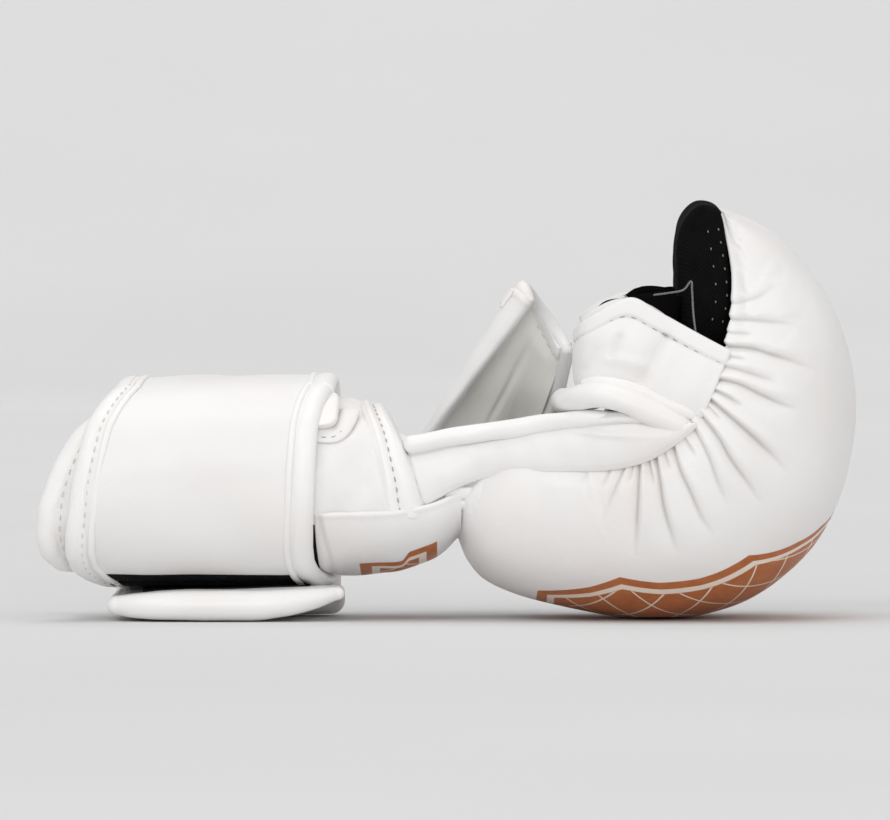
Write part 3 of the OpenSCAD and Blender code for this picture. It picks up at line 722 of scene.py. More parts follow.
for name, y_mid in FINGERS.items():
    bend = ("hand", name + "_finger_loop", (46, y_mid, 74), (46, y_mid, 88))
    a = np.linspace(0, 360, 73)[:-1]
    v = evenly(26)
    outside, inside = finger_grid(y_mid, 0, 0, v, a), finger_grid(y_mid, 1.3, 0, v, a)
    middle, half = between(outside, inside)
    hem = np.clip((v - 0.80) / 0.03, 0, 1)[None, :, None]
    half = half * (1 + 0.5 * hem)
    loop = skin(f"{name}_finger_sleeve", middle, half, WHITE, bend, k=3, wrap=True,
                replaces=(f"finger_loop_{name}",))
    v = np.linspace(0.02, 1, 30)
    top = 107.6 if y_mid < 0 else 108.8
    skin_out, skin_in = finger_grid(y_mid, 1.6, top, v, a), finger_grid(y_mid, 2.4, top, v, a)
    wave = 0.5 * ripple(skin_out, 13, 40 + int(y_mid))[..., None] * np.array([0, 0, 1.0]) * v[None, :, None]
    skin(f"{name}_finger_lining", (skin_out + skin_in) / 2 + wave, (skin_out - skin_in) / 2, BLACK, bend,
         "black_lining", k=2, wrap=True, replaces=(f"finger_lining_{name}",))
    path = finger_grid(y_mid, -0.15, 0, np.array([0.835]), np.linspace(100, 260, 60))[:, 0]
    stitches(f"{name}_finger_hem_stitches", path, path - np.array([60, y_mid, 0]) * [1, 1, 0] - path * [0, 0, 1],
             STITCH, bend)


edge_tape = spline([(69, -43.5, 107.9), (74, -45, 108.6), (78.5, -46.8, 109.6), (81.0, -47.4, 112.4),
                    (81.4, -47.6, 109),
                    (81.8, -47.8, 102), (82.6, -48.0, 95)], evenly(90))
roll("finger_cavity_edge_tape", edge_tape, 0.34, 0.3, np.tile([0.0, -1.0, 0.2], (90, 1)), 10, 3, "hand", TRIM)


# ---- side panels below the finger hem ----

PANEL_LOW = [(47.5, -27, 77), (44.4, -33, 77.5), (44.4, -40.5, 78), (48, -47, 78), (55, -49.5, 77.8),
             (64, -50.8, 75.6), (74, -51.6, 70.8), (80, -52.0, 69), (84.5, -51.9, 68.5)]
PANEL_HEM = [(47.5, -25, 96.5), (44.2, -31, 95.5), (44.2, -38.5, 96), (48, -45.5, 99.6), (60.5, -47.8, 106),
             (70, -48.8, 101.5), (80, -49.6, 96), (87.5, -50.2, 91.9), (93, -50.2, 89)]


def facing_little_side(p):
    """Normals of a grid on the little-finger side, pointing away from the hand."""
    normal = grid_normals(p)
    return -normal if normal[60, 20][1] > 0 else normal


def side_panel(side, name, body, replaces):
    us, vs = evenly(110), evenly(44)
    U, V = grid(us, vs)
    low, hem = spline(PANEL_LOW, us), spline(PANEL_HEM, us)
    if side > 0:
        for edge in (low, hem):
            edge[:, 0] += 3.4 * smooth((54 - edge[:, 0]) / 9)
    p = lerp(low[:, None], hem[:, None], V[..., None])
    dent = np.zeros_like(U)
    painted_shade = np.zeros_like(U)
    for (x0, z0), (x1, z1), deep, wide in (((73.5, 95), (64.5, 80), 0.95, 2.4), ((57.5, 94), (55.0, 88), 0.9, 1.2),
                                           ((55, 87), (66, 84.5), -0.7, 2.2), ((50, 90), (47, 84), 0.5, 2.2)):
        d = np.array([x1 - x0, z1 - z0])
        q = np.stack([p[..., 0] - x0, p[..., 2] - z0], -1)
        along = np.clip((q @ d) / (d @ d), 0, 1)
        away = np.linalg.norm(q - along[..., None] * d, axis=-1)
        dent += deep * np.exp(-(away / wide) ** 2)
        # Painted shade in the dents that sink in.
        painted_shade += 0.25 * max(deep, 0) * np.exp(-(away / (wide * 0.6)) ** 2)
    bulge = 1.1 * np.sin(np.pi * V) ** 0.7 - dent + 0.25 * ripple(p, 15, 9)
    hem_zone = smooth((V - 0.82) / 0.02)
    groove = np.exp(-((V - 0.815) / 0.018) ** 2)
    normal = facing_little_side(p)
    p = p + normal * (bulge * (1 - hem_zone) + 0.35 * hem_zone - 0.45 * groove)[..., None]
    half = normal * (0.8 + 0.4 * hem_zone)[..., None]
    mirror = np.array([1, -side, 1])
    way = ("hand", body, (90, side * 47, 78), (57, side * 47, 95))
    # Painted shade: the dents and the hem groove are darkened in the leather's colour.
    skin(name, p * mirror, half * mirror, WHITE, way, k=4, fields={"crease_shade": painted_shade + 0.35 * groove}, replaces=replaces)
    row = lerp(low, hem, 0.815)
    n = normal[:, 35]
    stitches(name + "_hem_stitches", (row + n) * mirror, n * mirror, STITCH_SHADED, way, pitch=3.7, length=2.1,
             radius=0.24)


side_panel(-1, "little_side_panel", "little_finger_loop", ("ulnar_finger_panel",))
side_panel(1, "index_side_panel", "index_finger_loop", ("radial_finger_panel",))


# ---- bar across the palm, and the bands between it and the padding ----

BAR = [(86.5, -39, 59.5), (82, -46.5, 62), (76, -51.6, 65.2), (66, -53.2, 70.2), (58.5, -53.2, 73.6),
       (51, -51.5, 75.2),
       (44.5, -45.5, 74.2), (40.2, -34, 72.4), (39.8, -15, 72.3), (41, 0, 72), (42.5, 15, 71.5), (46.5, 31, 71.5),
       (50, 43, 72), (55, 50, 74.5), (61, 52.4, 75), (69, 52.9, 71.5), (76, 51.6, 66.4), (82, 46.5, 62.5),
       (86.5, 39, 59.5)]
BAR_FOLD = [(87, -48.5, 67.5), (81.5, -51.6, 68.8), (73.5, -52.9, 71.4), (65, -53.0, 76.0), (57.5, -52.4, 78.4),
            (50.5, -50.0, 79.2), (46, -46.5, 78.2)]
s = evenly(170)
path = spline(BAR, s)
away_from_hand = unit(path * [0.15, 1, 0] + np.array([0, 0, 26.0]))
ends = np.abs(2 * s - 1) ** 6
roll("grip_bar", path, 4.5 - 0.9 * ends, 4.1 - 1.2 * ends, away_from_hand, 22, 5, "hand", wave=(0.12, 12, 4),
     replaces=("grip_bar_cover", "grip_bar_core"))
for side, label in ((-1, "little"), (1, "index")):
    fold = spline(BAR_FOLD, evenly(60)) * [1, -side, 1]
    roll(f"grip_bar_{label}_fold", fold, 2.1, 1.3, np.tile([0.0, side, 0.0], (60, 1)), 14, 4, "hand")

BAND_LOW = [(-6, -32.4, 39), (1, -33.4, 43.2), (10, -33, 47.0), (22, -38.6, 49.8), (38, -45.2, 50.6),
            (54, -49.4, 51.2),
            (66, -52.0, 54.0), (75, -53.0, 59.2), (82, -53.2, 65)]
BAND_TOP = [(-11.5, -29.5, 57), (2, -30.5, 59.4), (14, -32, 61.4), (30, -37.5, 64), (42, -43, 66), (52, -48.5, 68),
            (62, -51.8, 68.4), (73, -52.6, 66), (80, -52.8, 65.5)]
WRIST_BEND = ("cuff", "hand", (-12, 0, 45), (12, 0, 45))


def band(side, u_from, name, way, replaces):
    us = np.linspace(u_from, 1, 130)
    U, V = grid(us, evenly(46))
    p = lerp(spline(BAND_LOW, U), spline(BAND_TOP, U), V[..., None])
    fold = np.interp(us, [0, 0.5, 0.75, 1], [0.86, 0.84, 0.82, 0.9])[:, None]
    lower = np.sin(np.pi * np.clip(V / fold, 0, 1)) ** 0.65
    upper = np.sin(np.pi * np.clip((V - fold) / (1 - fold), 0, 1)) ** 0.65
    ridge = np.exp(-(((p[..., 0] - 52) / 11) ** 2)) * np.exp(-((V - 0.66 - 0.012 * (52 - p[..., 0])) / 0.07) ** 2)
    height = np.linalg.norm(spline(BAND_TOP, U) - spline(BAND_LOW, U), axis=2)
    puff = (1.9 * lower + 1.1 * upper) * np.minimum(1, height / 12) + 0.9 * ridge + 0.3 * ripple(p, 17, 31)
    normal = facing_little_side(p)
    p = p + normal * puff[..., None]
    # Painted shade along the fold between the roll and the lower panel.
    painted_shade = 0.5 * np.exp(-((V - fold) / 0.03) ** 2)
    mirror = np.array([1, -side, 1])
    skin(name, p * mirror, normal * mirror * 1.1, WHITE, way, k=4, fields={"crease_shade": painted_shade}, replaces=replaces)
    row = spline(BAND_LOW, us) + np.array([0, -0.9, 0.9])
    keep = row[:, 0] > 12
    stitches(name + "_seam_stitches", row[keep] * mirror, np.tile([0.0, side, -0.2], (keep.sum(), 1)), STITCH_SHADED,
             "hand", pitch=3.6, length=2.0, radius=0.26)


band(-1, 0.0, "little_side_band", WRIST_BEND, ("ulnar_band",))
band(1, 0.66, "index_side_band", "hand", ("radial_band",))

s = evenly(90)
roll_path = spline([(-11, -31.5, 58.2), (2, -32.5, 60.6), (14, -34, 62.4), (28, -38.5, 64.6), (40, -43.5, 66.4),
                    (50, -47.5, 67.6), (56, -48.5, 68)], s)
thin = 3.1 - 1.3 * smooth((s - 0.72) / 0.28)
roll("little_side_band_roll", roll_path, thin * 0.9, thin, np.tile([0.05, -0.35, 1.0], (90, 1)), 20, 5, WRIST_BEND,
     wave=(0.18, 14, 12), replaces=("ulnar_band_edge",))


# ---- thumb loop ----

THUMB_BEND = ("hand", "thumb_loop", (15, 45, 56), (15, 45, 75))
THUMB_WALL = 5.4


def thumb_grid(U, V, inset):
    """U runs around the thumb from the palm-side edge, V from the base up to the hem."""
    a = lerp(lerp(205, 229, V), lerp(52, 4, V), U)
    r = np.radians(a)
    cx, cy = lerp(17, 33.4, V), lerp(36, 30, V)
    rx, ry = lerp(23, 10, V), lerp(19, 10, V)
    lean = 4.6 * (1 - V) * np.maximum(0, -np.cos(r)) ** 0.8
    foot = 54.5 + 6 * np.maximum(0, (a - 170) / 62)
    head = 99.0 - 10.2 * np.cos(r)
    return np.stack([cx + (rx - inset) * np.cos(r) - lean, cy + (ry - inset) * np.sin(r), lerp(foot, head, V)], -1)


V, U = grid(np.linspace(0, 0.955, 90), evenly(120))
out_skin, in_skin = thumb_grid(U, V, 0), thumb_grid(U, V, THUMB_WALL - 0.8)
swell = 0.6 * smooth(V / 0.3) * np.sin(np.pi * V) ** 0.5 * np.sin(np.pi * U) ** 0.3
normal = unit(out_skin - in_skin)
out_skin = out_skin + normal * (swell + 0.3 * ripple(out_skin, 21, 51))[..., None]
in_skin = in_skin - normal * (0.5 * swell * (0.4 + ripple(in_skin, 18, 52)))[..., None]
wall = skin("thumb_loop_wall", *between(out_skin, in_skin), WHITE, THUMB_BEND, k=7,
            replaces=("thumb_loop_shell", "thumb_loop_foam"), fill=0.75)
V, U = grid(np.linspace(0.01, 0.95, 70), np.linspace(0.03, 0.97, 90))
p = thumb_grid(U, V, THUMB_WALL - 0.5)
n = unit(thumb_grid(U, V, 0) - p)
soft = (-(1.5 + 8.5 * (1 - V)) * np.sin(np.pi * U) ** 1.3 * smooth((0.98 - V) / 0.2) + 0.45 * ripple(p, 24, 53)
        + 0.9 * np.exp(-((U - 0.52 - 0.10 * V) / 0.05) ** 2) * smooth(V / 0.3) * smooth((0.95 - V) / 0.4))
p = p + n * (soft - 0.5)[..., None]
lining = skin("thumb_loop_lining_skin", p, n * 0.4, LINING_BRIGHTENED, THUMB_BEND, k=3, replaces=("thumb_loop_lining",))
u = np.linspace(0, 0.93, 110)
rim = thumb_grid(u, np.ones_like(u), THUMB_WALL / 2)
outwards = unit(thumb_grid(u, np.ones_like(u), 0) - rim)
taper = 1 - 0.5 * (2 * np.abs(u - 0.5)) ** 5
roll("thumb_loop_rim_binding", rim + [0, 0, -0.8], 3.0 * taper, 2.9 * taper, outwards, 22, 8, "thumb_loop",
     replaces=("thumb_loop_binding",))
for inset, lift, label, start in ((THUMB_WALL - 0.35, -1, "inner", 0.03), (-0.5, 1, "outer", 0.14)):
    V, U = grid(np.linspace(0.885, 0.985, 24), np.linspace(start, 1 - start, 120))
    p = thumb_grid(U, V, inset)
    n = unit(thumb_grid(U, V, 0) - thumb_grid(U, V, 2)) * lift
    skin(f"thumb_loop_{label}_binding_strip", p + n * 0.25,
         n * (0.55 + 0.25 * np.sin(np.pi * (V - 0.885) / 0.1))[..., None], BINDING, THUMB_BEND, "white_binding", k=4)
    u, v = np.linspace(start + 0.02, 0.98 - start, 110), np.full(110, 0.902)
    n = unit(thumb_grid(u, v, 0) - thumb_grid(u, v, 2)) * lift
    stitches(f"thumb_loop_{label}_stitches", thumb_grid(u, v, inset) + n * 0.9, n, STITCH, THUMB_BEND, pitch=3.4)


# ---- cuff ----

RING_X = [-126, -121, -115.5, -80, -45, -31, -22, -16, -10, -3, 6]
RING_W = [34, 36.5, 37.6, 38, 38, 37.5, 36.5, 35.8, 34.6, 33, 31]
RING_H = [23, 26.5, 29, 30, 30, 28.5, 26.6, 25.2, 22.6, 19, 13]
RING_MID = [36, 41.5, 44.8, 45.5, 45.5, 44.5, 43, 42, 41, 40.6, 42]


def ring_table(values):
    x = np.linspace(-140, 20, 641)
    y = np.interp(x, RING_X, values)
    window = np.exp(-(np.linspace(-2, 2, 41)) ** 2)
    padded = np.concatenate([np.full(20, y[0]), y, np.full(20, y[-1])])
    return x, np.convolve(padded, window / window.sum(), "valid")


TABLES = [ring_table(v) for v in (RING_W, RING_H, RING_MID)]


def ring_point(x, a, lift=0.0, skew=0.12):
    """Point on the rounded ring around the wrist: a is 0 at the palm side and 90 on the little-finger side."""
    w, h, mid = (np.interp(x, tx, ty) for tx, ty in TABLES)
    r = np.radians(a)
    y = -(w + lift) * spow(np.sin(r), 0.8)
    lean = skew * np.clip((-22 - x) / 20, 0, 1)
    return np.stack([x + lean * y, y, mid + (h + lift) * spow(np.cos(r), 0.8)], -1)


def ring_out(x, a, lift=1):
    return unit(ring_point(x, a, lift) - ring_point(x, a, 0))


SLIT = 9
REAR_A = [0, 20, 45, 70, 90, 108, 125, 145, 165, 195, 225, 270, 315, 340, 360]
REAR_X = [-101, -103, -110, -121.5, -127, -128, -127, -124, -119, -119, -124, -127, -112, -103, -101]


def rear_x(a):
    return np.interp(a, REAR_A, REAR_X)


AA, FF = grid(np.linspace(SLIT, 360 - SLIT, 170), evenly(110))
XX = lerp(rear_x(AA) + 1, -20, FF)
crumple = 0.5 * ripple(ring_point(XX, AA), 16, 61) * smooth((XX + 46) / 6) + 0.25 * ripple(ring_point(XX, AA), 9, 62)
crumple = crumple - 0.8 * smooth((XX + 32) / 8) * smooth((AA - 230) / 20)
out_skin, in_skin = ring_point(XX, AA, 0), ring_point(XX, AA, -5.6)
out_skin = out_skin + unit(out_skin - in_skin) * crumple[..., None]
wall = skin("cuff_padded_wall", *between(out_skin, in_skin), WHITE, "cuff", k=6,
            replaces=("cuff_shell", "cuff_foam"), fill=0.7)
AA, FF = grid(np.linspace(SLIT + 1, 359 - SLIT, 130), evenly(80))
XX = lerp(rear_x(AA) + 1.5, -21, FF)
p, q = ring_point(XX, AA, -5.5), ring_point(XX, AA, -6.7)
wave = 0.3 * ripple(p, 14, 63)[..., None] * unit(q - p)
lining = skin("cuff_lining_skin", (p + q) / 2 + wave, (p - q) / 2, BLACK, "cuff", "black_lining", k=3,
              replaces=("cuff_lining",))

a = np.linspace(SLIT, 360 - SLIT, 200)
rear = ring_point(rear_x(a) + 0.4, a, -2.9)
radial = unit(ring_point(rear_x(a), a, 0) - ring_point(rear_x(a), a, -4))
roll("cuff_rear_rim", rear, 4.4, 3.9, radial, 26, 6, "cuff", wave=(0.2, 15, 64), replaces=("cuff_rear_binding",))
a = np.linspace(SLIT + 2, 358 - SLIT, 240)
row = ring_point(rear_x(a) + 4.6, a, 0.55)
stitches("cuff_rear_stitches", row, ring_point(rear_x(a) + 4.6, a, 4) - row, STITCH, "cuff", pitch=3.9, length=2.0,
         radius=0.22)

# Folded binding over both flanks of the cuff's hand end
FLANK_A = [11, 30, 50, 75, 108]
PROFILE_X = np.array([0, 0.05, 0.14, 0.27, 0.33, 0.40, 0.55, 0.72, 0.86, 0.95, 1.0])
PROFILE_R = np.array([0.2, 1.1, 1.8, 1.5, 0.75, 1.5, 2.2, 1.8, 0.4, -1.6, -3.4])
STITCH_COLUMN = 20
across = evenly(60)
height = np.interp(across, PROFILE_X, PROFILE_R)
height = np.convolve(np.pad(height, 3, "edge"), np.ones(7) / 7, "valid")
for near, label in ((True, "little"), (False, "thumb")):
    a = np.linspace(11, 101, 120)
    left = np.interp(a, FLANK_A, [-27.5, -26.0, -24.0, -21.6, -18.6])
    right = np.interp(a, FLANK_A, [-17.0, -15.5, -12.5, -9.5, -4.0] if near else [-20.5, -20, -19.5, -18.5, -16])
    thin = 1.0 if near else 0.45
    X = lerp(left[:, None], right[:, None], across[None, :])
    angle = a if near else 360 - a
    AA = np.repeat(angle[:, None], 60, 1)
    outwards, rise = ring_out(X, AA), thin * height[None, :]
    top = ring_point(X, AA, 0) + outwards * (rise + 0.2)[..., None]
    below = ring_point(X, AA, -1.0) + outwards * np.minimum(0, rise - 0.6)[..., None]
    # Painted shade along the groove in the folded binding.
    groove = np.repeat(np.exp(-((across - 0.33) / 0.02) ** 2)[None, :], 120, 0)
    skin(f"cuff_{label}_side_binding", *between(top, below), BINDING, "cuff", "white_binding", k=4,
         fields={"crease_shade": 0.6 * groove}, replaces=("cuff_front_binding",) if near else ())
    stitches(f"cuff_{label}_side_binding_stitches", top[:, STITCH_COLUMN], outwards[:, STITCH_COLUMN], STITCH_SHADED,
             "cuff",
             pitch=3.3, length=2.0, radius=0.24, sink=0.0)

# Reinforcing strip and stitching beside the slit
strip_x = np.array([-44, -39, -34, -31.5, -30.2])
strip_a = np.array([61, 60.5, 59, 49, 33])
s = evenly(80)
sx, sa = spline(strip_x, s), spline(strip_a, s)
path = ring_point(sx, sa, 0.35)
n = ring_out(sx, sa, 2)
roll("cuff_slit_strip", path, 3.4, 0.9, n, 20, 4, "cuff", WHITE)
row = ring_point(sx + 0.8 * smooth((sx + 33) / 2), sa + 3.2, 1.1)
stitches("cuff_slit_stitches", row, n, STITCH_SHADED, "cuff", pitch=3.2, length=2.0, radius=0.24)

AA, FF = grid(np.linspace(38, 322, 130), evenly(30))
XX = lerp(-21.5, -7.5 - 11.5 * smooth((AA - 225) / 20), FF)
p, q = ring_point(XX, AA, -0.8), ring_point(XX, AA, -2.8)
skin("wrist_bridge_leather", (p + q) / 2 + 0.2 * ripple(p, 10, 65)[..., None], (p - q) / 2, WHITE, "cuff", k=3,
     replaces=("wrist_bridge",))

# Printed panel over the back of the wrist
xs = np.linspace(-39, 5.0, 110)
hem = np.interp(xs, [-39, -28, -18, -5, 5], [105, 103.2, 100.5, 95, 90])
f = evenly(150)
AA = lerp(hem[:, None], 360 - hem[:, None], f[None, :])
XX = np.repeat(xs[:, None], 150, 1)
corner = 3.4 * np.clip((XX + 33) / -6, 0, 1) ** 2
lift = 1.9 - corner * 0.35 - 1.0 * smooth((XX - 0) / 6) + 0.30 * ripple(ring_point(XX, AA), 18, 66)
hem_edge = np.exp(-(np.minimum(f, 1 - f) / 0.012) ** 2)[None, :]
fold = np.exp(-((XX + 37 - 1.5 * np.sin(np.radians(AA) * 3)) / 0.9) ** 2)
p = ring_point(XX, AA, 0) + ring_out(XX, AA, 2) * (lift + 0.35 * hem_edge - 0.5 * fold)[..., None]
q = ring_point(XX, AA, 0.15)
arc = run_length(p)
py = arc - arc[:, 74:75]
half_badge = 24.0 + 4.5 * smooth((XX + 14.5) / 3.0)
badge = np.minimum(half_badge - np.abs(py), np.minimum(XX + 27.5, -2.6 - XX))
# Painted shade in the fold near the panel's rear end.
skin("wrist_back_printed_panel", *between(p, q), WHITE_PRINT, WRIST_BEND, k=4,
     fields={ "crease_shade": 0.4 * fold, "print_edge": badge, "print_x": XX + 30, "print_y": py},
     replaces=("wrist_back_panel",))

xs = np.linspace(0.5, 12.5, 40)
a = np.linspace(88, 272, 200)
AA, XX = grid(a, xs)
r = np.radians(AA)
pleat = 0.9 * np.abs(np.sin(r * 11)) ** 0.6
w, h = 31.0 + pleat, 12.0 + 0.10 * (XX - 6) ** 2 + pleat
p = np.stack([XX, -w * spow(np.sin(r), 0.8), 42.5 + h * spow(np.cos(r), 0.8)], -1)
normal = unit(p - np.stack([XX, 0 * XX, np.full_like(XX, 42.5)], -1))
# Painted shade in the valleys between the pleats.
painted_shade = np.exp(-(np.abs(np.sin(r * 11)) / 0.25) ** 2)
skin("neck_gusset_folds", p, normal * 0.7, WHITE, WRIST_BEND, k=3, fields={"crease_shade": 0.6 * painted_shade},
     replaces=("neck_gusset",))


# ---- wrist wrap ----

FLAP_BEND = ("cuff", "wrist_wrap", (-72, -14, 78), (-72, -26, 76))
WRAP_WIDE = 80
EDGE_A = [0, 15, 30, 45, 60, 90, 110, 125, 138, 150, 163, 180, 200, 270, 315, 360, 384]
EDGE_LEFT = [-105.5, -107.5, -111, -115, -118.8, -123.5, -125.2, -125.4, -124.2, -121, -117, -114.5, -113.5, -111,
             -109.5, -107, -109.5]
EDGE_RIGHT = [-36, -36.4, -38.4, -40.6, -42, -43.2, -43.5, -43.6, -43, -41.5, -39.5, -37, -35.5, -34.5, -35, -36, -37]


def wrap_point(f, a, out):
    """f runs from the rear edge to the front edge of the wrap, out is the height above its inner face."""
    x = lerp(np.interp(a, EDGE_A, EDGE_LEFT), np.interp(a, EDGE_A, EDGE_RIGHT), f)
    r = np.radians(a)
    w, h, mid = (np.interp(np.minimum(x, -80), tx, ty) for tx, ty in TABLES)
    return np.stack([x, -(w + 0.5 + out) * spow(np.sin(r), 0.8), mid + (h + 0.5 + out) * spow(np.cos(r), 0.8)], -1)


def wrap_slab(name, a, f, low, high, mat, way, slot, replaces=(), caps=(True, True), wave=0.0, k=4, fill=None):
    AA, FF = grid(a, f)
    p, q = wrap_point(FF, AA, high), wrap_point(FF, AA, low)
    n = unit(p - q)
    p = p + n * (wave * ripple(p, 26, 71) + 0.5 * wave * ripple(p, 60, 72))[..., None]
    return skin(name, *between(p, q), mat, way, slot, k=k, caps=caps, replaces=replaces, fill=fill)


def wrap_edges(name, a, way, replaces=()):
    for f, side, label in ((4.0 / WRAP_WIDE, 1, "rear"), (1 - 4.0 / WRAP_WIDE, -1, "front")):
        path = wrap_point(np.full(a.shape, f), a, 2.5)
        n = unit(wrap_point(np.full(a.shape, f), a, 6) - path)
        roll(f"{name}_{label}_binding", path, 4.1, 2.8, n, 26, 5, way, wave=(0.14, 17, 73),
             replaces=replaces if label == "rear" else ())
        ridge = wrap_point(np.full(a.shape, f + side * 4.4 / WRAP_WIDE), a, 4.7)
        roll(f"{name}_{label}_piping", ridge, 1.15, 0.7, n, 14, 4, way)
        if label == "rear":
            row = wrap_point(np.full(a.shape, f + 1.4 / WRAP_WIDE), a, 5.2)
            stitches(f"{name}_stitches", row, n, STITCH, way, pitch=3.6, length=1.9, radius=0.2)


flap_a, anchor_a = np.linspace(25.5, 146, 160), np.linspace(163.8, 385.3, 200)
wrap_slab("wrist_wrap_flap", flap_a, np.linspace(0.06, 0.94, 60), 0.9, 4.6, WHITE, FLAP_BEND, "white_leather",
          ("wrist_wrap_cover", "wrist_wrap_foam"), caps=(False, True), wave=0.35, fill=0.6)
wrap_slab("wrist_wrap_loop_field", np.linspace(144.5, 162.6, 40), np.linspace(0.07, 0.93, 60), 0.9, 4.2, LOOP,
          "wrist_wrap",
          "loop_tape", ("wrist_loop_field",))
wrap_slab("wrist_wrap_flap_backing", np.linspace(27, 118, 90), np.linspace(0.06, 0.94, 40), 0.35, 0.95, WHITE,
          FLAP_BEND,
          "white_leather", ("wrist_wrap_backing",), k=2)
wrap_slab("wrist_wrap_hook_tape", np.linspace(119, 162, 50), np.linspace(0.08, 0.92, 40), 0.45, 1.0, HOOK,
          "wrist_wrap",
          "hook_tape", ("wrist_wrap_hook",), k=2)
wrap_edges("wrist_wrap_flap", np.linspace(25.5, 161.5, 150), FLAP_BEND, ("wrist_wrap_edges",))
wrap_slab("wrist_wrap_fixed_half", anchor_a[38:], np.linspace(0.06, 0.94, 60), 0.0, 4.6, WHITE, "cuff",
          "white_leather",
          ("wrist_wrap_anchor",), wave=0.35, fill=0.6)
wrap_slab("wrist_wrap_fixed_loop_tape", np.linspace(163.8, 205.5, 60), np.linspace(0.07, 0.93, 60), 0.0, 4.9, LOOP,
          "cuff",
          "loop_tape")
wrap_edges("wrist_wrap_fixed", anchor_a, "cuff", ("wrist_wrap_anchor_edges",))
AA, XX = grid(np.linspace(112, 161, 60), np.linspace(-108, -39.6, 50))
p, q = ring_point(XX, AA, 0.38), ring_point(XX, AA, -0.3)
skin("cuff_loop_tape_patch", *between(p, q), LOOP, "cuff", "loop_tape", k=2, replaces=("cuff_loop_patch",))

# Rounded end of the wrap's inner layer, showing past its front edge
xs, vs = np.linspace(-43, -34.4, 24), evenly(40)
XX, VV = grid(xs, vs)
AA = lerp(22, 59, VV)
round_off = np.sqrt(np.clip(1 - ((VV - 0.5) / 0.5) ** 6, 0, 1)) * 0.8 + 0.2
XX = -43 + (XX + 43) * round_off
p = ring_point(XX, AA, 2.7)
n = unit(ring_point(XX, AA, 4) - p)
skin("wrist_wrap_inner_end", p, n * 1.5, BINDING, "cuff", "white_binding", k=6)


# ---- closure strap ----

STRAP_BEND = ("cuff", "closure_strap", (-72, 25, 5), (-72, 15, 5))
STRAP_X = [-108.6, -104, -95, -84, -70, -60, -50, -42, -37, -35.4]
STRAP_TOP = [7.9, 8.6, 9.4, 9.9, 10.1, 10.3, 10.6, 10.9, 11.1, 11.1]
STRAP_LOW = [1.7, 0.8, 0.2, 0.05, 0.05, 0.5, 2.0, 4.2, 6.2, 6.9]
xs = np.linspace(-108.6, -35.4, 150)
ys = evenly(90)
top, low = np.interp(xs, STRAP_X, STRAP_TOP), np.interp(xs, STRAP_X, STRAP_LOW)
window = np.exp(-np.linspace(-2, 2, 15) ** 2)
top, low = (np.convolve(np.pad(v, 7, "edge"), window / window.sum(), "valid") for v in (top, low))
end = np.abs((xs + 71.5) / 40)
tip = -33.0 + 6.0 * end**4


def strap_wave(x, y):
    return 0.25 * ripple(np.stack([x, y, 0 * x], -1), 23, 81)


YY = lerp(tip[:, None], 23.0, ys[None, :])
level = smooth((YY + 8) / 22)
XX = xs[:, None] + level * (xs[:, None] + 72) * -0.07
flat_top, flat_low = lerp(top[:, None], 9.6, level), lerp(low[:, None], 0.3, level)
mid_z = (flat_top + flat_low) / 2
half_z = np.maximum((flat_top - flat_low) / 2, 0.5)
mid = np.stack([XX, YY, mid_z + strap_wave(XX, YY)], -1)
mid[..., 2] = np.maximum(mid[..., 2], half_z + 0.02)
off = np.zeros_like(mid)
off[..., 2] = half_z
skin("closure_strap_pad", mid, off, BINDING, STRAP_BEND, k=10,
     replaces=("closure_strap_cover", "closure_strap_foam", "closure_strap_backing"), fill=0.8)
lo, hi = box("closure_strap_hook")
XX, YY = grid(np.linspace(lo[0], hi[0], 50), np.linspace(lo[1] + 4, hi[1], 40))
above = lerp(np.interp(XX, xs, top), 9.6, smooth((YY + 8) / 22)) + strap_wave(XX, YY)
mid = np.stack([XX, YY, above - 0.12], -1)
off = np.zeros_like(mid)
off[..., 2] = 0.35
skin("closure_strap_hook_tape", mid, off, HOOK, "closure_strap", "hook_tape", k=2, replaces=("closure_strap_hook",))

ROOT_IN = [(20, 9.6), (28, 13), (36, 19.5), (41.6, 29), (43.9, 40), (43.9, 51)]
ROOT_OUT = [(20, 0.3), (32, 2), (42, 9), (47.5, 20), (49.5, 33), (48.5, 51)]
s = evenly(80)
inner_line, outer_line = spline(ROOT_IN, s), spline(ROOT_OUT, s)
xs = np.linspace(-105.5, -39.5, 100)
edge = np.clip(np.minimum(xs + 106.5, -38.5 - xs) / 7, 0, 1)
round_edge = 0.55 + 0.45 * np.sqrt(1 - (1 - edge) ** 2)
p = np.zeros((100, 80, 3))
q = np.zeros((100, 80, 3))
for target, share in ((p, round_edge), (q, np.zeros(100))):
    target[..., 0] = xs[:, None]
    yz = inner_line[None] + (outer_line - inner_line)[None] * share[:, None, None]
    target[..., 1:] = yz
wave = 0.35 * ripple(p, 24, 82)[..., None] * unit(p - q)
skin("closure_strap_root_pad", (p + q) / 2 + wave / 2, (p - q) / 2, BINDING, "cuff", k=5,
     replaces=("closure_strap_root",), fill=0.7)


# ---- floor, light and camera ----

FLOOR_GAP = 0.0004
WORLD_LIGHT = 0.66
CAMERA_AWAY = 5
VIEW_WIDTH = 0.296
AIM_HEIGHT = 0.0688
CAMERA_RISE = 1.5
bend_from, bend_r, wall_top, wide, front = 3.0, 4.5, 7.0, 8.0, -8.0
profile = [(front, 0.0)] + [(y, 0.0) for y in np.linspace(-5, bend_from, 9)]
profile += [(bend_from + bend_r * math.sin(k), bend_r * (1 - math.cos(k))) for k in np.linspace(0.04, math.pi / 2,
                                                                                                40)]
profile += [(bend_from + bend_r, z) for z in np.linspace(bend_r + 0.3, wall_top, 6)]
verts = [(x, y, z - FLOOR_GAP) for y, z in profile for x in (-wide, wide)]
faces = [(2 * k, 2 * k + 1, 2 * k + 3, 2 * k + 2) for k in range(len(profile) - 1)]
mesh = bpy.data.meshes.new("studio_floor")
mesh.from_pydata(verts, [], faces)
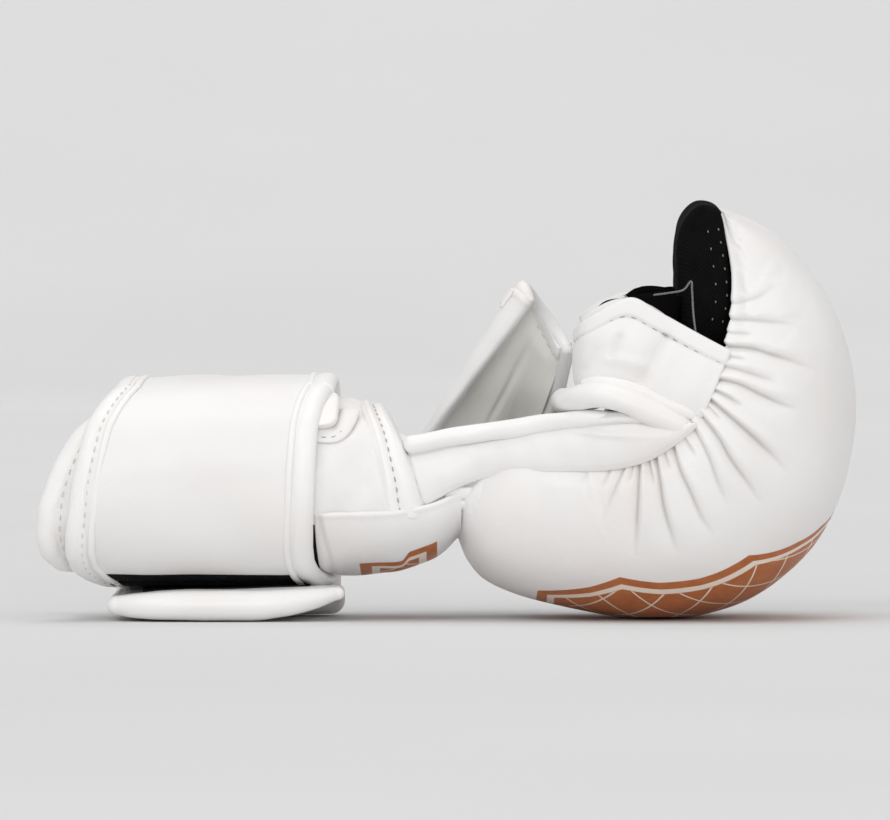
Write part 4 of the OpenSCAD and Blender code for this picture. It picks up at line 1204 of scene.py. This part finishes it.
mesh.shade_smooth()
floor = bpy.data.objects.new("studio_floor", mesh)
bpy.context.scene.collection.objects.link(floor)
g = Graph("pale_floor", 0.9)
g.put(g.shader.inputs["Base Color"], g.mix(g.span(g.noise(400, 2), 0.3, 0.7), rgb(217, 217, 217), rgb(220, 220, 220)))
g.shader.inputs["Specular IOR Level"].default_value = 0.1
mesh.materials.append(g.mat)

world = bpy.data.worlds.new("studio")
world.use_nodes = True
world.node_tree.nodes["Background"].inputs[0].default_value = (1, 1, 1, 1)
world.node_tree.nodes["Background"].inputs[1].default_value = WORLD_LIGHT
bpy.context.scene.world = world


def softbox(name, place, size, power, target=(0, 0, 0.07)):
    data = bpy.data.lights.new(name, "AREA")
    data.shape = "RECTANGLE"
    data.size, data.size_y = size
    data.energy = power
    lamp = bpy.data.objects.new(name, data)
    bpy.context.scene.collection.objects.link(lamp)
    lamp.location = place
    direction = Vector(target) - Vector(place)
    lamp.rotation_euler = direction.to_track_quat("-Z", "Y").to_euler()


softbox("key_light", (-2.8, -4.4, 4.4), (2.6, 2.6), 58)
softbox("fill_light", (3.6, -5.0, 1.9), (2.6, 2.2), 35)
softbox("front_light", (-0.5, -6.4, 1.7), (3.0, 2.4), 70)
softbox("backdrop_light", (0, 2.6, 4.6), (3.0, 2.0), 60, (0, 6.4, 0.3))
softbox("top_light", (0.3, -0.6, 5.2), (3.0, 3.0), 46)

scene = bpy.context.scene
scene.view_settings.view_transform = "Standard"
camera = bpy.data.cameras.new("camera")
camera.sensor_width = 36
camera.lens = 36 * CAMERA_AWAY / VIEW_WIDTH
camera.clip_start, camera.clip_end = 0.05, 30
eye = bpy.data.objects.new("camera", camera)
scene.collection.objects.link(eye)
aim = Vector((0, 0, AIM_HEIGHT))
lift = math.radians(CAMERA_RISE)
eye.location = aim + Vector((0, -CAMERA_AWAY * math.cos(lift), CAMERA_AWAY * math.sin(lift)))
eye.rotation_euler = (aim - eye.location).to_track_quat("-Z", "Y").to_euler()
scene.camera = eye
